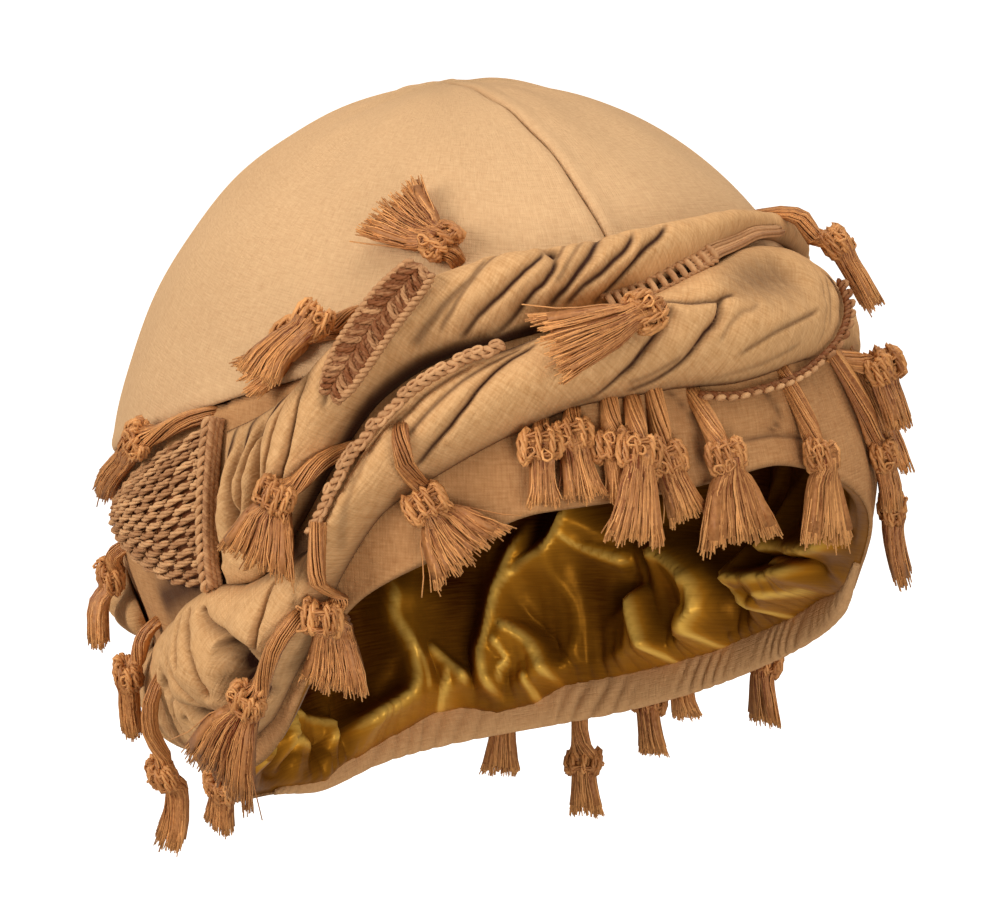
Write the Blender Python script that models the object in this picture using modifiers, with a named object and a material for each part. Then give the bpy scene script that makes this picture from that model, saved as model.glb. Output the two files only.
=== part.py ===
"""A pre-tied durag head wrap: a satin-lined cap with a twisted, tasselled scarf sewn round the brow.

Frame: metres, +Z up, +X to the wearer's left, -Y to the front. The middle of the cap's widest level
is on the Z axis, LIFT below the origin, and the origin is where the lining rests on the head.
Tables are in millimetres and degrees: phi is the angle round the cap, 0 at the brow, +90 at the
wearer's left, and z is the height above the cap's widest level.
"""
import math

import bmesh
import bpy
from mathutils import Vector

MM = 0.001
COLLECTION = "pre_tied_durag"

# Cap, outside: half width and half length at the widest level, rise of the crown above it, and the
# height in which the lower wall would close if it went on curving in. The elastic draws the wall in
# by a share of its width, from DRAW_TOP down over DRAW_DEPTH.
HALF_WIDTH = 88.7
HALF_LENGTH = 108.2
CROWN_RISE = 104.5
LOWER_CURVE = 125.0
DRAW_IN = 0.055
DRAW_TOP = 8.0
DRAW_DEPTH = 34.0

# Cloth and clearances
CAP_CLOTH = 1.3
LINING_CLOTH = 1.0
SEAM_GAP = 0.3
HEM_GAP = 0.6
SEAT = 0.5
LINING_EASE = 0.8
LIFT = CROWN_RISE - CAP_CLOTH - LINING_EASE - LINING_CLOTH

# Sections round the cap, the same on the panels, the side band and the lining, and rows up each
CAP_COLUMNS = 40
PANEL_ROWS = 8
BAND_ROWS = 8
LINING_ROWS = 10

# Folds of the loose satin: depth at the crown, extra depth reached FOLD_RUN below FOLD_TOP, and the
# shares of its height over which the folds die away at the opening and at the crown
FOLD_DEPTH = 1.2
FOLD_DEEPER = 2.6
FOLD_TOP = 40.0
FOLD_RUN = 80.0
FOLD_WAVES = [
    # waves_round, lean (mm of height to a radian), share, phase
    (7.0, 22.0, 1.0, 0.0),
    (11.0, -15.0, 0.6, 1.3),
]
FADE_LOW = 0.12
FADE_CROWN = 0.25
LINING_CLEAR = 1.5

# Where the dome panels meet the side band: height at brow, sides and nape
JOIN_MEAN = 34.0
JOIN_SWING = 24.0

# Lower edge of the cap
RIM = [
    # phi, z
    (-180, -76.5),
    (-164, -79.0),
    (-149, -75.5),
    (-130, -71.0),
    (-105, -61.0),
    (-85, -51.0),
    (-72, -44.0),
    (-64, -36.0),
    (-57, -24.0),
    (-49, -9.0),
    (-42, 1.0),
    (-30, 10.5),
    (-18, 18.0),
    (0, 19.0),
    (12, 20.0),
    (24, 14.0),
    (38, 1.0),
    (54, -19.0),
    (66, -34.0),
    (80, -44.0),
    (98, -54.0),
    (117, -63.0),
    (140, -70.5),
    (160, -74.0),
]

# Elastic casing along the sides and back
HEM_START = 50.0
HEM_END = 214.0
HEM_HEIGHT = 9.5
HEM_FADE = 26.0
HEM_THICK = 4.6
HEM_GATHERS = 30
HEM_GATHER_DEPTH = 0.7
HEM_END_CLEAR = 4.0
HEM_END_THIN = 0.35
HEM_COLUMNS = 60
HEM_SIDES = 7

# The scarf's two strands: upper and lower edge on the cap, and how far the roll stands out
UPPER_TWIST = [
    # phi, top, bottom, thick
    (-67, 36.0, 1.0, 4.0),
    (-60, 40.0, 3.0, 8.0),
    (-52, 47.0, 15.0, 11.0),
    (-45, 54.0, 31.0, 13.0),
    (-38, 61.0, 44.0, 14.0),
    (-30, 67.0, 51.0, 14.0),
    (-20, 70.0, 54.5, 14.0),
    (-10, 71.0, 57.0, 13.0),
    (0, 71.5, 60.5, 11.0),
    (13, 72.0, 64.5, 8.0),
    (24, 71.5, 66.5, 6.0),
    (35, 70.0, 65.0, 4.5),
    (50, 66.0, 59.5, 4.0),
    (65, 60.0, 51.5, 4.0),
    (90, 50.0, 36.0, 6.0),
    (120, 32.0, 13.0, 8.0),
    (150, 12.0, -8.0, 9.0),
    (180, 0.0, -20.0, 10.0),
    (210, -6.0, -24.5, 9.0),
    (238, -8.0, -24.5, 7.0),
    (250, -12.0, -22.0, 3.0),
]
LOWER_TWIST = [
    # phi, top, bottom, thick
    (-110, -24.0, -50.0, 6.0),
    (-95, -16.0, -47.0, 6.5),
    (-85, -10.0, -43.0, 9.0),
    (-76, -6.0, -40.0, 11.5),
    (-65, -1.5, -32.0, 12.0),
    (-58, 1.0, -21.0, 11.0),
    (-50, 8.0, -7.0, 10.0),
    (-44, 21.0, 8.0, 10.0),
    (-38, 36.0, 20.0, 11.0),
    (-30, 48.0, 28.0, 12.0),
    (-20, 52.5, 35.5, 13.0),
    (-10, 55.5, 40.0, 13.0),
    (0, 59.0, 40.5, 13.0),
    (12, 63.0, 39.0, 12.0),
    (24, 65.0, 39.5, 9.5),
    (35, 63.5, 38.0, 6.5),
    (50, 58.0, 32.5, 4.2),
    (65, 50.0, 24.5, 4.2),
    (90, 34.5, 9.0, 6.0),
    (120, 11.5, -13.0, 8.5),
    (150, -9.5, -35.0, 10.0),
    (180, -21.5, -47.0, 10.0),
    (210, -26.0, -53.0, 9.0),
    (235, -26.5, -54.0, 7.0),
]
TWIST_STEP = 5.0
TWIST_OVER = 8
TWIST_UNDER = 3
PLEATS_ROUND = 18
PLEAT_TURNS = 1.4
PLEAT_DEPTH = 1.5
FULL_THICK = 12.0
ROLL_POWER = 0.7

# Crocheted end of the scarf: its upper and lower edge and its thickness, from its tip to the strands
SCARF_END = [
    # phi, top, bottom, thick
    (-103, 15.0, 6.0, 3.0),
    (-98, 20.0, 3.0, 3.6),
    (-90, 26.0, 0.5, 4.2),
    (-80, 32.0, -1.0, 4.6),
    (-73, 36.0, 0.0, 4.6),
    (-68.5, 38.0, 1.5, 4.0),
]
END_COLUMNS = 10
END_OVER = 4

# Crochet strip over the upper strand: places down its middle, with its half width
CROCHET_PATCH = [
    # phi, z, half_width
    (-27.5, 65.5, 2.2),
    (-30.0, 62.0, 4.6),
    (-33.5, 57.0, 5.6),
    (-37.0, 50.5, 5.6),
    (-39.5, 45.0, 4.8),
    (-41.0, 41.5, 2.6),
]
PATCH_THICK = 2.4
PATCH_STEPS = 7

# Crochet edges: places along each cord, how round and how closely they are made
EDGE_GAP = [
    # phi, z
    (-20, 50.0),
    (-25, 48.0),
    (-30, 44.0),
    (-35, 38.0),
    (-39, 31.5),
    (-42, 24.5),
    (-45, 16.0),
]
EDGE_LADDER = [
    # phi, z
    (-6, 57.8),
    (0, 59.7),
    (8, 62.2),
    (16, 64.6),
    (26, 65.7),
    (38, 64.0),
]
EDGE_BEADS = [
    # phi, z
    (4, 38.0),
    (10, 36.4),
    (17, 36.4),
    (24, 37.2),
    (31, 39.5),
    (37, 44.0),
    (41, 50.0),
]
EDGE_RADIUS = 1.7
EDGE_SIDES = 6
EDGES = [
    # name, route, steps
    ("edge_gap", EDGE_GAP, 9),
    ("edge_ladder", EDGE_LADDER, 8),
    ("edge_beads", EDGE_BEADS, 8),
]

# Tassels: a bundle of yarn from the scarf's edge to a knot, and a skirt that spreads to its end.
# Root, knot and tip are places on the cap, and the lifts are how far knot and tip stand off what is
# behind them.
TASSELS = [
    # name, root_phi, root_z, knot_phi, knot_z, tip_phi, tip_z, spread, knot_lift, tip_lift
    ("crown", -25.5, 70.5, -27.5, 73.5, -38.5, 81.0, 9.0, 0.4, 1.2),
    ("temple_a", -44.5, 58.5, -53.5, 56.0, -60.0, 47.0, 6.0, 0.4, 0.6),
    ("temple_b", -39.5, 62.5, -46.0, 57.5, -50.0, 45.0, 5.6, 4.0, 4.0),
    ("side_a", -41.5, 35.0, -48.5, 24.0, -52.0, 10.0, 10.5, 0.6, 2.0),
    ("side_b", -44.0, 14.0, -45.0, -1.0, -46.6, -19.0, 8.5, 0.5, 3.0),
    ("side_c", -48.5, -1.0, -58.0, -20.0, -67.0, -38.0, 11.0, 0.6, 2.0),
    ("brow_a", -33.0, 37.0, -31.3, 22.0, -26.5, 9.5, 10.5, 2.0, 3.0),
    ("front_a", -0.5, 53.0, -3.5, 51.5, -15.0, 47.0, 8.0, 0.5, 1.5),
    ("brow_b", -17.0, 35.5, -17.2, 32.5, -17.8, 20.0, 3.4, 0.4, 0.6),
    ("brow_c", -13.0, 37.0, -13.5, 34.0, -13.0, 20.5, 4.6, 0.4, 0.8),
    ("brow_d", -8.0, 38.5, -8.8, 31.0, -9.0, 19.5, 2.6, 0.4, 0.4),
    ("brow_e", -5.0, 38.5, -6.5, 28.6, -8.5, 9.7, 6.3, 5.0, 6.5),
    ("brow_f", -2.0, 38.5, -3.0, 26.5, -1.0, 13.3, 4.6, 0.4, 0.8),
    ("brow_g", 4.0, 34.5, 3.8, 25.0, 4.1, 5.4, 10.0, 3.5, 5.0),
    ("brow_h", 20.0, 33.0, 19.6, 20.0, 17.9, 0.5, 8.6, 1.5, 3.5),
    ("loop", 43.0, 70.5, 44.0, 57.0, 44.0, 43.0, 4.6, 3.0, 3.0),
    ("flank_a", 48.5, 32.0, 50.0, 29.5, 50.5, 16.0, 4.2, 4.2, 5.0),
    ("flank_b", 38.0, 36.0, 41.0, 31.5, 42.0, 18.5, 4.4, 4.2, 5.0),
    ("flank_c", 56.0, 28.5, 54.5, 18.0, 55.0, 5.0, 4.4, 0.6, 3.5),
    ("flank_d", 37.5, 33.0, 41.0, 13.0, 43.0, 0.5, 5.0, 0.4, 1.5),
    ("flank_e", 46.5, 31.5, 49.0, -2.0, 52.0, -19.0, 7.0, 0.4, 6.0),
    ("left_a", -106.0, 3.0, -111.0, -5.0, -112.5, -19.5, 5.6, 0.6, 4.0),
    ("left_b", -97.0, -13.0, -100.0, -24.0, -102.5, -37.0, 4.2, 0.6, 3.0),
    ("left_c", -89.0, -23.0, -95.0, -46.0, -99.0, -62.0, 5.6, 4.0, 12.0),
    ("fringe", -71.0, 40.0, -88.0, 31.5, -107.0, 16.5, 3.6, 0.6, 0.6),
    ("back_a", -82.0, -45.0, -84.5, -50.0, -89.0, -61.0, 4.8, 0.6, 1.0),
    ("back_b", 157.0, -41.0, 157.5, -68.0, 159.0, -82.0, 5.0, 1.0, 1.0),
    ("back_c", 143.0, -33.0, 143.5, -80.0, 143.8, -94.0, 4.4, 1.0, 1.0),
    ("back_d", 130.0, -24.0, 129.5, -64.0, 129.0, -78.0, 3.8, 1.0, 1.0),
    ("back_e", 123.0, -18.0, 122.5, -57.0, 120.8, -68.0, 3.8, 1.0, 1.0),
    ("back_f", 101.0, -3.0, 101.0, -51.5, 101.3, -67.5, 5.6, 1.0, 1.0),
]
TASSEL_SECTIONS = [
    # root_to_knot, knot_to_tip, half_width, share_of_spread, half_thick
    (0.0, 0.0, 1.7, 0.0, 1.36),
    (0.5, 0.0, 1.955, 0.0, 1.7),
    (0.88, 0.0, 1.87, 0.0, 1.7),
    (1.0, 0.0, 3.7, 0.0, 2.96),
    (1.0, 0.2, 3.145, 0.0, 2.775),
    (1.0, 0.34, 1.0, 0.45, 2.3),
    (1.0, 0.66, 0.0, 0.78, 2.3),
    (1.0, 1.0, 0.0, 1.0, 2.3),
]
TASSEL_SIDES = 8
SKIRT_GROOVE = 0.22
SKIRT_RAGGED = 2.2
ROOT_REACH = 0.7

# Colour, roughness of each material
CAP_TAN = ((0.66, 0.40, 0.20, 1.0), 0.85)
SATIN_GOLD = ((0.32, 0.17, 0.03, 1.0), 0.32)
HEM_TAN = ((0.58, 0.34, 0.15, 1.0), 0.85)
SCARF_TAN = ((0.60, 0.36, 0.18, 1.0), 0.85)
CROCHET_TAN = ((0.52, 0.28, 0.12, 1.0), 0.8)
YARN_TAN = ((0.50, 0.24, 0.10, 1.0), 0.6)


def periodic_curve(rows, column):
    """A smooth curve through one column of a table whose first column is phi, right round the cap."""
    xs = [row[0] for row in rows]
    ys = [row[column] for row in rows]

    def value(phi):
        x = (phi - xs[0]) % 360.0 + xs[0]
        return hermite([xs[-1] - 360.0] + xs + [xs[0] + 360.0, xs[1] + 360.0],
                       [ys[-1]] + ys + [ys[0], ys[1]], x)

    return value


def open_curve(rows, column):
    """A smooth curve through one column of a table, flat beyond its ends."""
    xs = [row[0] for row in rows]
    ys = [row[column] for row in rows]

    def value(x):
        return hermite(xs, ys, min(max(x, xs[0]), xs[-1]))

    return value


def hermite(xs, ys, x):
    """Cubic through the points (xs, ys) that never overshoots the two rows it lies between."""
    last = len(xs) - 1
    i = 0
    while i < last - 1 and x > xs[i + 1]:
        i += 1
    slopes = []
    for k in (i, i + 1):
        before = (ys[k] - ys[k - 1]) / (xs[k] - xs[k - 1]) if k > 0 else None
        after = (ys[k + 1] - ys[k]) / (xs[k + 1] - xs[k]) if k < last else None
        if before is None or after is None:
            slopes.append(after if before is None else before)
        elif before * after <= 0.0:
            slopes.append(0.0)
        else:
            slopes.append(2.0 * before * after / (before + after))
    span = xs[i + 1] - xs[i]
    t = (x - xs[i]) / span
    rise = ys[i + 1] - ys[i]
    return (ys[i] + t * (slopes[0] * span
                         + t * (3.0 * rise - (2.0 * slopes[0] + slopes[1]) * span
                                + t * ((slopes[0] + slopes[1]) * span - 2.0 * rise))))


def ease(share):
    """A smooth step from 0 to 1 as share goes from 0 to 1."""
    share = min(max(share, 0.0), 1.0)
    return share * share * (3.0 - 2.0 * share)


def on_cap(phi, z, out=0.0):
    """A point out millimetres off the cap's outside, at angle phi and height z, in metres."""
    curve = CROWN_RISE if z >= 0.0 else LOWER_CURVE
    lean = math.sqrt(max(0.0, 1.0 - (z / curve) ** 2)) - DRAW_IN * ease((DRAW_TOP - z) / DRAW_DEPTH)
    turn = math.radians(phi)
    across = HALF_LENGTH * math.sin(turn)
    along = HALF_WIDTH * math.cos(turn)
    reach = HALF_WIDTH * HALF_LENGTH / math.hypot(across, along) * lean
    point = Vector((reach * math.sin(turn), -reach * math.cos(turn), z))
    normal = Vector((point.x / HALF_WIDTH ** 2, point.y / HALF_LENGTH ** 2, z / curve ** 2)).normalized()
    return (point + out * normal - Vector((0.0, 0.0, LIFT))) * MM


def join_height(phi):
    """Height of the seam between the dome panels and the side band."""
    return JOIN_MEAN + JOIN_SWING * math.cos(math.radians(phi))


rim_height = periodic_curve(RIM, 1)


def hem_height(phi):
    """Height of the elastic casing, which fades out towards the temples."""
    turn = phi % 360.0
    inside = min(turn - HEM_START, HEM_END - turn)
    return HEM_HEIGHT * ease(inside / HEM_FADE)


def hanging(phi, z, out):
    """A place off the cap as on_cap gives it, and straight down from the rim below the rim."""
    level = max(z, rim_height(phi))
    return on_cap(phi, level, out) + Vector((0.0, 0.0, (z - level) * MM))


def clean():
    """Start an empty collection for the object, with nothing left of an older scene."""
    for thing in list(bpy.data.objects):
        bpy.data.objects.remove(thing, do_unlink=True)
    for group in list(bpy.data.collections):
        bpy.data.collections.remove(group)
    bpy.context.scene.collection.children.link(bpy.data.collections.new(COLLECTION))


def finish_material(name, look):
    """A Principled material with a colour and a roughness."""
    colour, roughness = look
    material = bpy.data.materials.new(name)
    material.use_nodes = True
    shader = material.node_tree.nodes["Principled BSDF"]
    shader.inputs["Base Color"].default_value = colour
    shader.inputs["Roughness"].default_value = roughness
    shader.inputs["Metallic"].default_value = 0.0
    material.diffuse_color = colour
    return material


def mapped_grid(name, columns, rows, place, material, closed_ends=False):
    """A grid whose corners are moved to place(u, v); edges and poles that meet are welded."""
    mesh = bpy.data.meshes.new(name)
    bm = bmesh.new()
    bmesh.ops.create_grid(bm, x_segments=columns, y_segments=rows, size=1.0)
    for vert in bm.verts:
        vert.co = place((vert.co.x + 1.0) / 2.0, (vert.co.y + 1.0) / 2.0)
    bmesh.ops.remove_doubles(bm, verts=bm.verts, dist=1e-6)
    if closed_ends:
        bmesh.ops.holes_fill(bm, edges=[edge for edge in bm.edges if edge.is_boundary], sides=0)
        bmesh.ops.recalc_face_normals(bm, faces=bm.faces)
    bm.to_mesh(mesh)
    bm.free()
    mesh.shade_smooth()
    mesh.materials.append(material)
    piece = bpy.data.objects.new(name, mesh)
    bpy.data.collections[COLLECTION].objects.link(piece)
    return piece


def give_wall(piece, thickness):
    """Thicken an open cloth surface inwards, away from its outside."""
    wall = piece.modifiers.new("wall", 'SOLIDIFY')
    wall.thickness = thickness * MM
    wall.offset = -1.0
    wall.use_even_offset = True


def latitude(z):
    """Angle up the crown's curve for a height."""
    return math.asin(z / CROWN_RISE)


def cap_panel(name, side, material):
    """One half of the dome, from the middle seam down to the side band."""

    def place(u, v):
        phi = side * 180.0 * u
        low = latitude(join_height(phi) + SEAM_GAP)
        point = on_cap(phi, CROWN_RISE * math.sin(low + (math.pi / 2.0 - low) * v))
        point.x += side * SEAM_GAP / 2.0 * MM
        return point

    panel = mapped_grid(name, CAP_COLUMNS // 2, PANEL_ROWS, place, material)
    if side < 0:
        flip_faces(panel)
    give_wall(panel, CAP_CLOTH)
    return panel


def flip_faces(piece):
    """Turn a surface's faces over, for a shape laid out the mirrored way round."""
    bm = bmesh.new()
    bm.from_mesh(piece.data)
    bmesh.ops.reverse_faces(bm, faces=bm.faces)
    bm.to_mesh(piece.data)
    bm.free()


def cap_side_band(material):
    """The cloth strip between the dome panels and the opening's edge."""

    def place(u, v):
        phi = 360.0 * u
        low = rim_height(phi) + hem_height(phi) + (HEM_GAP if hem_height(phi) > 0.0 else 0.0)
        return on_cap(phi, low + (join_height(phi) - low) * v)

    band = mapped_grid("cap_side_band", CAP_COLUMNS, BAND_ROWS, place, material)
    give_wall(band, CAP_CLOTH)
    return band


def lining_fold(phi, z):
    """How far the satin's folds stand in from the cap, deeper towards the nape."""
    turn = math.radians(phi)
    depth = FOLD_DEPTH + FOLD_DEEPER * min(max((FOLD_TOP - z) / FOLD_RUN, 0.0), 1.0)
    ripple = 0.0
    for waves, lean, share, phase in FOLD_WAVES:
        ripple += share * math.sin(waves * turn + z / lean + phase)
    return depth * (1.0 + ripple / sum(wave[2] for wave in FOLD_WAVES)) / 2.0


def satin_lining(material):
    """The satin shell inside the cap, with its folds, open at the bottom."""
    base = CAP_CLOTH + LINING_EASE

    def place(u, v):
        phi = 360.0 * u
        low = rim_height(phi) + hem_height(phi) + (HEM_GAP if hem_height(phi) > 0.0 else LINING_CLEAR)
        curve = CROWN_RISE if low >= 0.0 else LOWER_CURVE
        start = math.asin(low / curve)
        angle = start + (math.pi / 2.0 - start) * v
        z = math.sin(angle) * (CROWN_RISE if angle >= 0.0 else LOWER_CURVE)
        fade = min(v / FADE_LOW, 1.0) * min((1.0 - v) / FADE_CROWN, 1.0)
        return on_cap(phi, z, -base - fade * lining_fold(phi, z))

    lining = mapped_grid("satin_lining", CAP_COLUMNS, LINING_ROWS, place, material)
    give_wall(lining, LINING_CLOTH)
    return lining


def gathered_hem(material):
    """The elastic casing: a puffy roll under the side band, ribbed by its gathers."""

    def place(u, v):
        phi = HEM_START + HEM_END_CLEAR + (HEM_END - HEM_START - 2.0 * HEM_END_CLEAR) * u
        tall = hem_height(phi)
        ring = 2.0 * math.pi * v
        rib = HEM_GATHER_DEPTH * math.sin(HEM_GATHERS * math.pi * u) ** 2 * min(tall / HEM_HEIGHT, 1.0)
        half_out = (HEM_THICK / 2.0 - rib) * min(1.0, HEM_END_THIN + tall / HEM_HEIGHT)
        z = rim_height(phi) + tall / 2.0 * (1.0 + math.sin(ring))
        return on_cap(phi, z, half_out * math.cos(ring) - CAP_CLOTH)

    return mapped_grid("gathered_hem", HEM_COLUMNS, HEM_SIDES, place, material, closed_ends=True)


def roll_height(share, thick, phi):
    """Outside of a strand across its width: a round roll with pleats that run aslant over it."""
    arch = math.sin(math.pi * share) ** ROLL_POWER
    pleat = math.sin(2.0 * math.pi * PLEAT_TURNS * share - PLEATS_ROUND * math.radians(phi))
    return arch * (thick + PLEAT_DEPTH * min(thick / FULL_THICK, 1.0) * pleat)


def strand_point(table_curves, phi, ring, points_over, points_under):
    """Point number ring of a strand's section: over the roll first, then back along the cap."""
    top, bottom, thick = (curve(phi) for curve in table_curves)
    total = points_over + points_under
    index = round(ring * total) % total
    if index <= points_over:
        share = index / points_over
        z = bottom + (top - bottom) * share
        out = roll_height(share, thick, phi)
    else:
        share = 1.0 - (index - points_over) / points_under
        z = bottom + (top - bottom) * share
        out = 0.0
    return on_cap(phi, z, SEAT + out)


def strand(name, rows, closed, material):
    """A pleated roll of scarf cloth, solid as it is wound, lying on the cap."""
    curves = strand_curves(rows, closed)
    first = rows[0][0]
    sweep = 360.0 if closed else rows[-1][0] - first
    columns = round(sweep / TWIST_STEP)

    def place(u, v):
        return strand_point(curves, first + sweep * u, v, TWIST_OVER, TWIST_UNDER)

    return mapped_grid(name, columns, TWIST_OVER + TWIST_UNDER, place, material, closed_ends=not closed)


def strand_curves(rows, closed):
    """Curves for the upper edge, the lower edge and the thickness of a strand."""
    maker = periodic_curve if closed else open_curve
    return [maker(rows, column) for column in (1, 2, 3)]


UPPER_CURVES = strand_curves(UPPER_TWIST, False)
LOWER_CURVES = strand_curves(LOWER_TWIST, True)
END_CURVES = strand_curves(SCARF_END, False)


def cover(phi, z):
    """How far the scarf already stands off the cap at a place."""
    height = 0.0
    turn = phi if phi >= UPPER_TWIST[0][0] else phi + 360.0
    places = [(LOWER_CURVES, phi)]
    if UPPER_TWIST[0][0] <= turn <= UPPER_TWIST[-1][0]:
        places.append((UPPER_CURVES, turn))
    if SCARF_END[0][0] <= phi <= SCARF_END[-1][0]:
        places.append((END_CURVES, phi))
    for curves, angle in places:
        top, bottom, thick = (curve(angle) for curve in curves)
        if bottom < z < top:
            height = max(height, roll_height((z - bottom) / (top - bottom), thick, angle))
    return height


def highest_cover(phi, z, reach):
    """The most that the scarf stands off the cap within reach millimetres of a place."""
    turn = math.degrees(reach / HALF_LENGTH)
    spots = [(a, b) for a in (-1.0, -0.5, 0.0, 0.5, 1.0) for b in (-1.0, -0.5, 0.0, 0.5, 1.0)]
    return max(cover(phi + a * turn, z + b * reach) for a, b in spots)


def scarf_end(material):
    """The flat crochet end of the upper strand, a padded strip on the cap."""
    first = SCARF_END[0][0]
    sweep = SCARF_END[-1][0] - first

    def place(u, v):
        return strand_point(END_CURVES, first + sweep * u, v, END_OVER, TWIST_UNDER)

    return mapped_grid("scarf_end", END_COLUMNS, END_OVER + TWIST_UNDER, place, material, closed_ends=True)


def route_point(rows, share):
    """Place and half width at a share of the way along a table of (phi, z, ...) rows."""
    numbered = [(float(index),) + tuple(row) for index, row in enumerate(rows)]
    position = share * (len(rows) - 1)
    return [open_curve(numbered, column)(position) for column in range(1, len(numbered[0]))]


def edge_cord(name, route, material, steps):
    """A round crochet edge that lies on the strands along a route."""
    centres = []
    for index in range(steps + 1):
        phi, z = route_point(route, index / steps)
        lift = SEAT + EDGE_RADIUS + highest_cover(phi, z, EDGE_RADIUS * ROOT_REACH)
        centres.append((phi, z, lift))
    radii = [EDGE_RADIUS] * len(centres)
    return tube(name, centres, radii, radii, material, EDGE_SIDES)


def tube(name, centres, halves, thicks, material, sides, grooves=0.0, ragged=0.0):
    """A loft of oval sections along (phi, z, out) centres, wide along the cap and thin off it.

    Every other corner is drawn in by up to the share grooves towards the end, and cut back by ragged.
    """
    points = [hanging(*centre) for centre in centres]
    last = len(points) - 1

    def place(u, v):
        index = round(u * last)
        phi, z, out = centres[index]
        ahead = points[min(index + 1, last)] - points[max(index - 1, 0)]
        outward = (hanging(phi, z, out + 1.0) - points[index]).normalized()
        side = ahead.cross(outward).normalized()
        corner = round(v * sides) % sides
        turn = 2.0 * math.pi * corner / sides
        wide = halves[index] * math.cos(turn)
        thick = thicks[index] * math.sin(turn)
        groove = 1.0 - grooves * (corner % 2) * index / last
        point = points[index] + groove * MM * (wide * side + thick * outward)
        if index == last and corner % 2:
            point -= ahead.normalized() * ragged * MM
        return point

    return mapped_grid(name, last, sides, place, material, closed_ends=True)


def crochet_patch(material):
    """The crochet strip that crosses the upper strand."""
    centres = []
    halves = []
    for index in range(PATCH_STEPS + 1):
        phi, z, half = route_point(CROCHET_PATCH, index / PATCH_STEPS)
        lift = SEAT + PATCH_THICK / 2.0 + highest_cover(phi, z, half * ROOT_REACH)
        centres.append((phi, z, lift))
        halves.append(half)
    thicks = [PATCH_THICK / 2.0] * len(centres)
    return tube("crochet_patch", centres, halves, thicks, material, TASSEL_SIDES)


def tassel(row, material):
    """A bundle of yarn, its knot and its skirt, lying on whatever is behind it."""
    name, root_phi, root_z, knot_phi, knot_z, tip_phi, tip_z, spread, knot_lift, tip_lift = row
    centres = []
    halves = []
    for to_knot, to_tip, half_width, spread_share, half_thick in TASSEL_SECTIONS:
        half = half_width + spread_share * spread
        phi = root_phi + (knot_phi - root_phi) * to_knot + (tip_phi - knot_phi) * to_tip
        z = root_z + (knot_z - root_z) * to_knot + (tip_z - knot_z) * to_tip
        lift = knot_lift * to_knot + (tip_lift - knot_lift) * to_tip
        reach = half * (ROOT_REACH if to_knot == 0.0 else 1.0)
        centres.append((phi, z, SEAT + half_thick + lift + highest_cover(phi, z, reach)))
        halves.append(half)
    thicks = [section[4] for section in TASSEL_SECTIONS]
    return tube("tassel_" + name, centres, halves, thicks, material, TASSEL_SIDES, SKIRT_GROOVE, SKIRT_RAGGED)


def build():
    """Make every piece."""
    clean()
    cap = finish_material("cap_cloth", CAP_TAN)
    satin = finish_material("lining_satin", SATIN_GOLD)
    hem = finish_material("hem_cloth", HEM_TAN)
    scarf = finish_material("scarf_cloth", SCARF_TAN)
    crochet = finish_material("crochet_cord", CROCHET_TAN)
    yarn = finish_material("tassel_yarn", YARN_TAN)
    cap_panel("cap_panel_left", 1.0, cap)
    cap_panel("cap_panel_right", -1.0, cap)
    cap_side_band(cap)
    satin_lining(satin)
    gathered_hem(hem)
    strand("upper_twist", UPPER_TWIST, False, scarf)
    strand("lower_twist", LOWER_TWIST, True, scarf)
    scarf_end(crochet)
    crochet_patch(crochet)
    for name, route, steps in EDGES:
        edge_cord(name, route, crochet, steps)
    for row in TASSELS:
        tassel(row, yarn)


build()
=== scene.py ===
"""The look of the pre-tied durag: cotton cap, satin lining, twisted scarf, crochet trims and yarn tassels.

The cap's surface, its rim and the routes of the scarf and the tassels repeat the named sizes and tables
of the part's source. They are in millimetres and degrees: phi is the angle round the cap, 0 at the brow,
+90 at the wearer's left, and z is the height above the cap's widest level.
"""

import math

import bmesh
import bpy
import numpy as np
from mathutils import Matrix, Vector


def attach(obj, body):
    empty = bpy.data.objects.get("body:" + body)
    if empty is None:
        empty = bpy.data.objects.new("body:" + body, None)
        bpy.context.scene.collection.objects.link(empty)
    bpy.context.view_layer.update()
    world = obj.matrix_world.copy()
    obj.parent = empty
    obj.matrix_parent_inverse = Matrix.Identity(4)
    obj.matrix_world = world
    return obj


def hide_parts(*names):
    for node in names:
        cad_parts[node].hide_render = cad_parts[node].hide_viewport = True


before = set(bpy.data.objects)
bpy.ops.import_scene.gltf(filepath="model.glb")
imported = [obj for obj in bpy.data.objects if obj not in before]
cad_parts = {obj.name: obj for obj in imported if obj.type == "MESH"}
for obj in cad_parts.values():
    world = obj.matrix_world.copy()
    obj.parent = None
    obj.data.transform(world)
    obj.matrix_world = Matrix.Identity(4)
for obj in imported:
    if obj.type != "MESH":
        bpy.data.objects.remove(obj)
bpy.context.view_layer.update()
MM = 0.001

# Cap surface
HALF_WIDTH = 88.7
HALF_LENGTH = 108.2
CROWN_RISE = 104.5
LOWER_CURVE = 125.0
DRAW_IN = 0.055
DRAW_TOP = 8.0
DRAW_DEPTH = 34.0
LIFT = 101.4
SEAT = 0.5
JOIN_MEAN = 34.0
JOIN_SWING = 24.0

# Cloths
CAP_CLOTH = 1.3
LINING_CLOTH = 0.8
LINING_EASE = 0.8

# Elastic casing along the sides and back
HEM_START = 50.0
HEM_END = 214.0
HEM_HEIGHT = 9.5
HEM_FADE = 26.0
HEM_THICK = 4.6

# Millimetres of cloth to a degree round the scarf, the cap's lower parts and the dome, and to a radian up
# the dome and the lining, for folds and weaves that are laid out flat
PER_DEGREE = 1.65
CAP_DEGREE = 1.6
CROWN_DEGREE = 1.5
CROWN_RADIAN = 95.0
SATIN_RADIAN = 100.0

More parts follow.
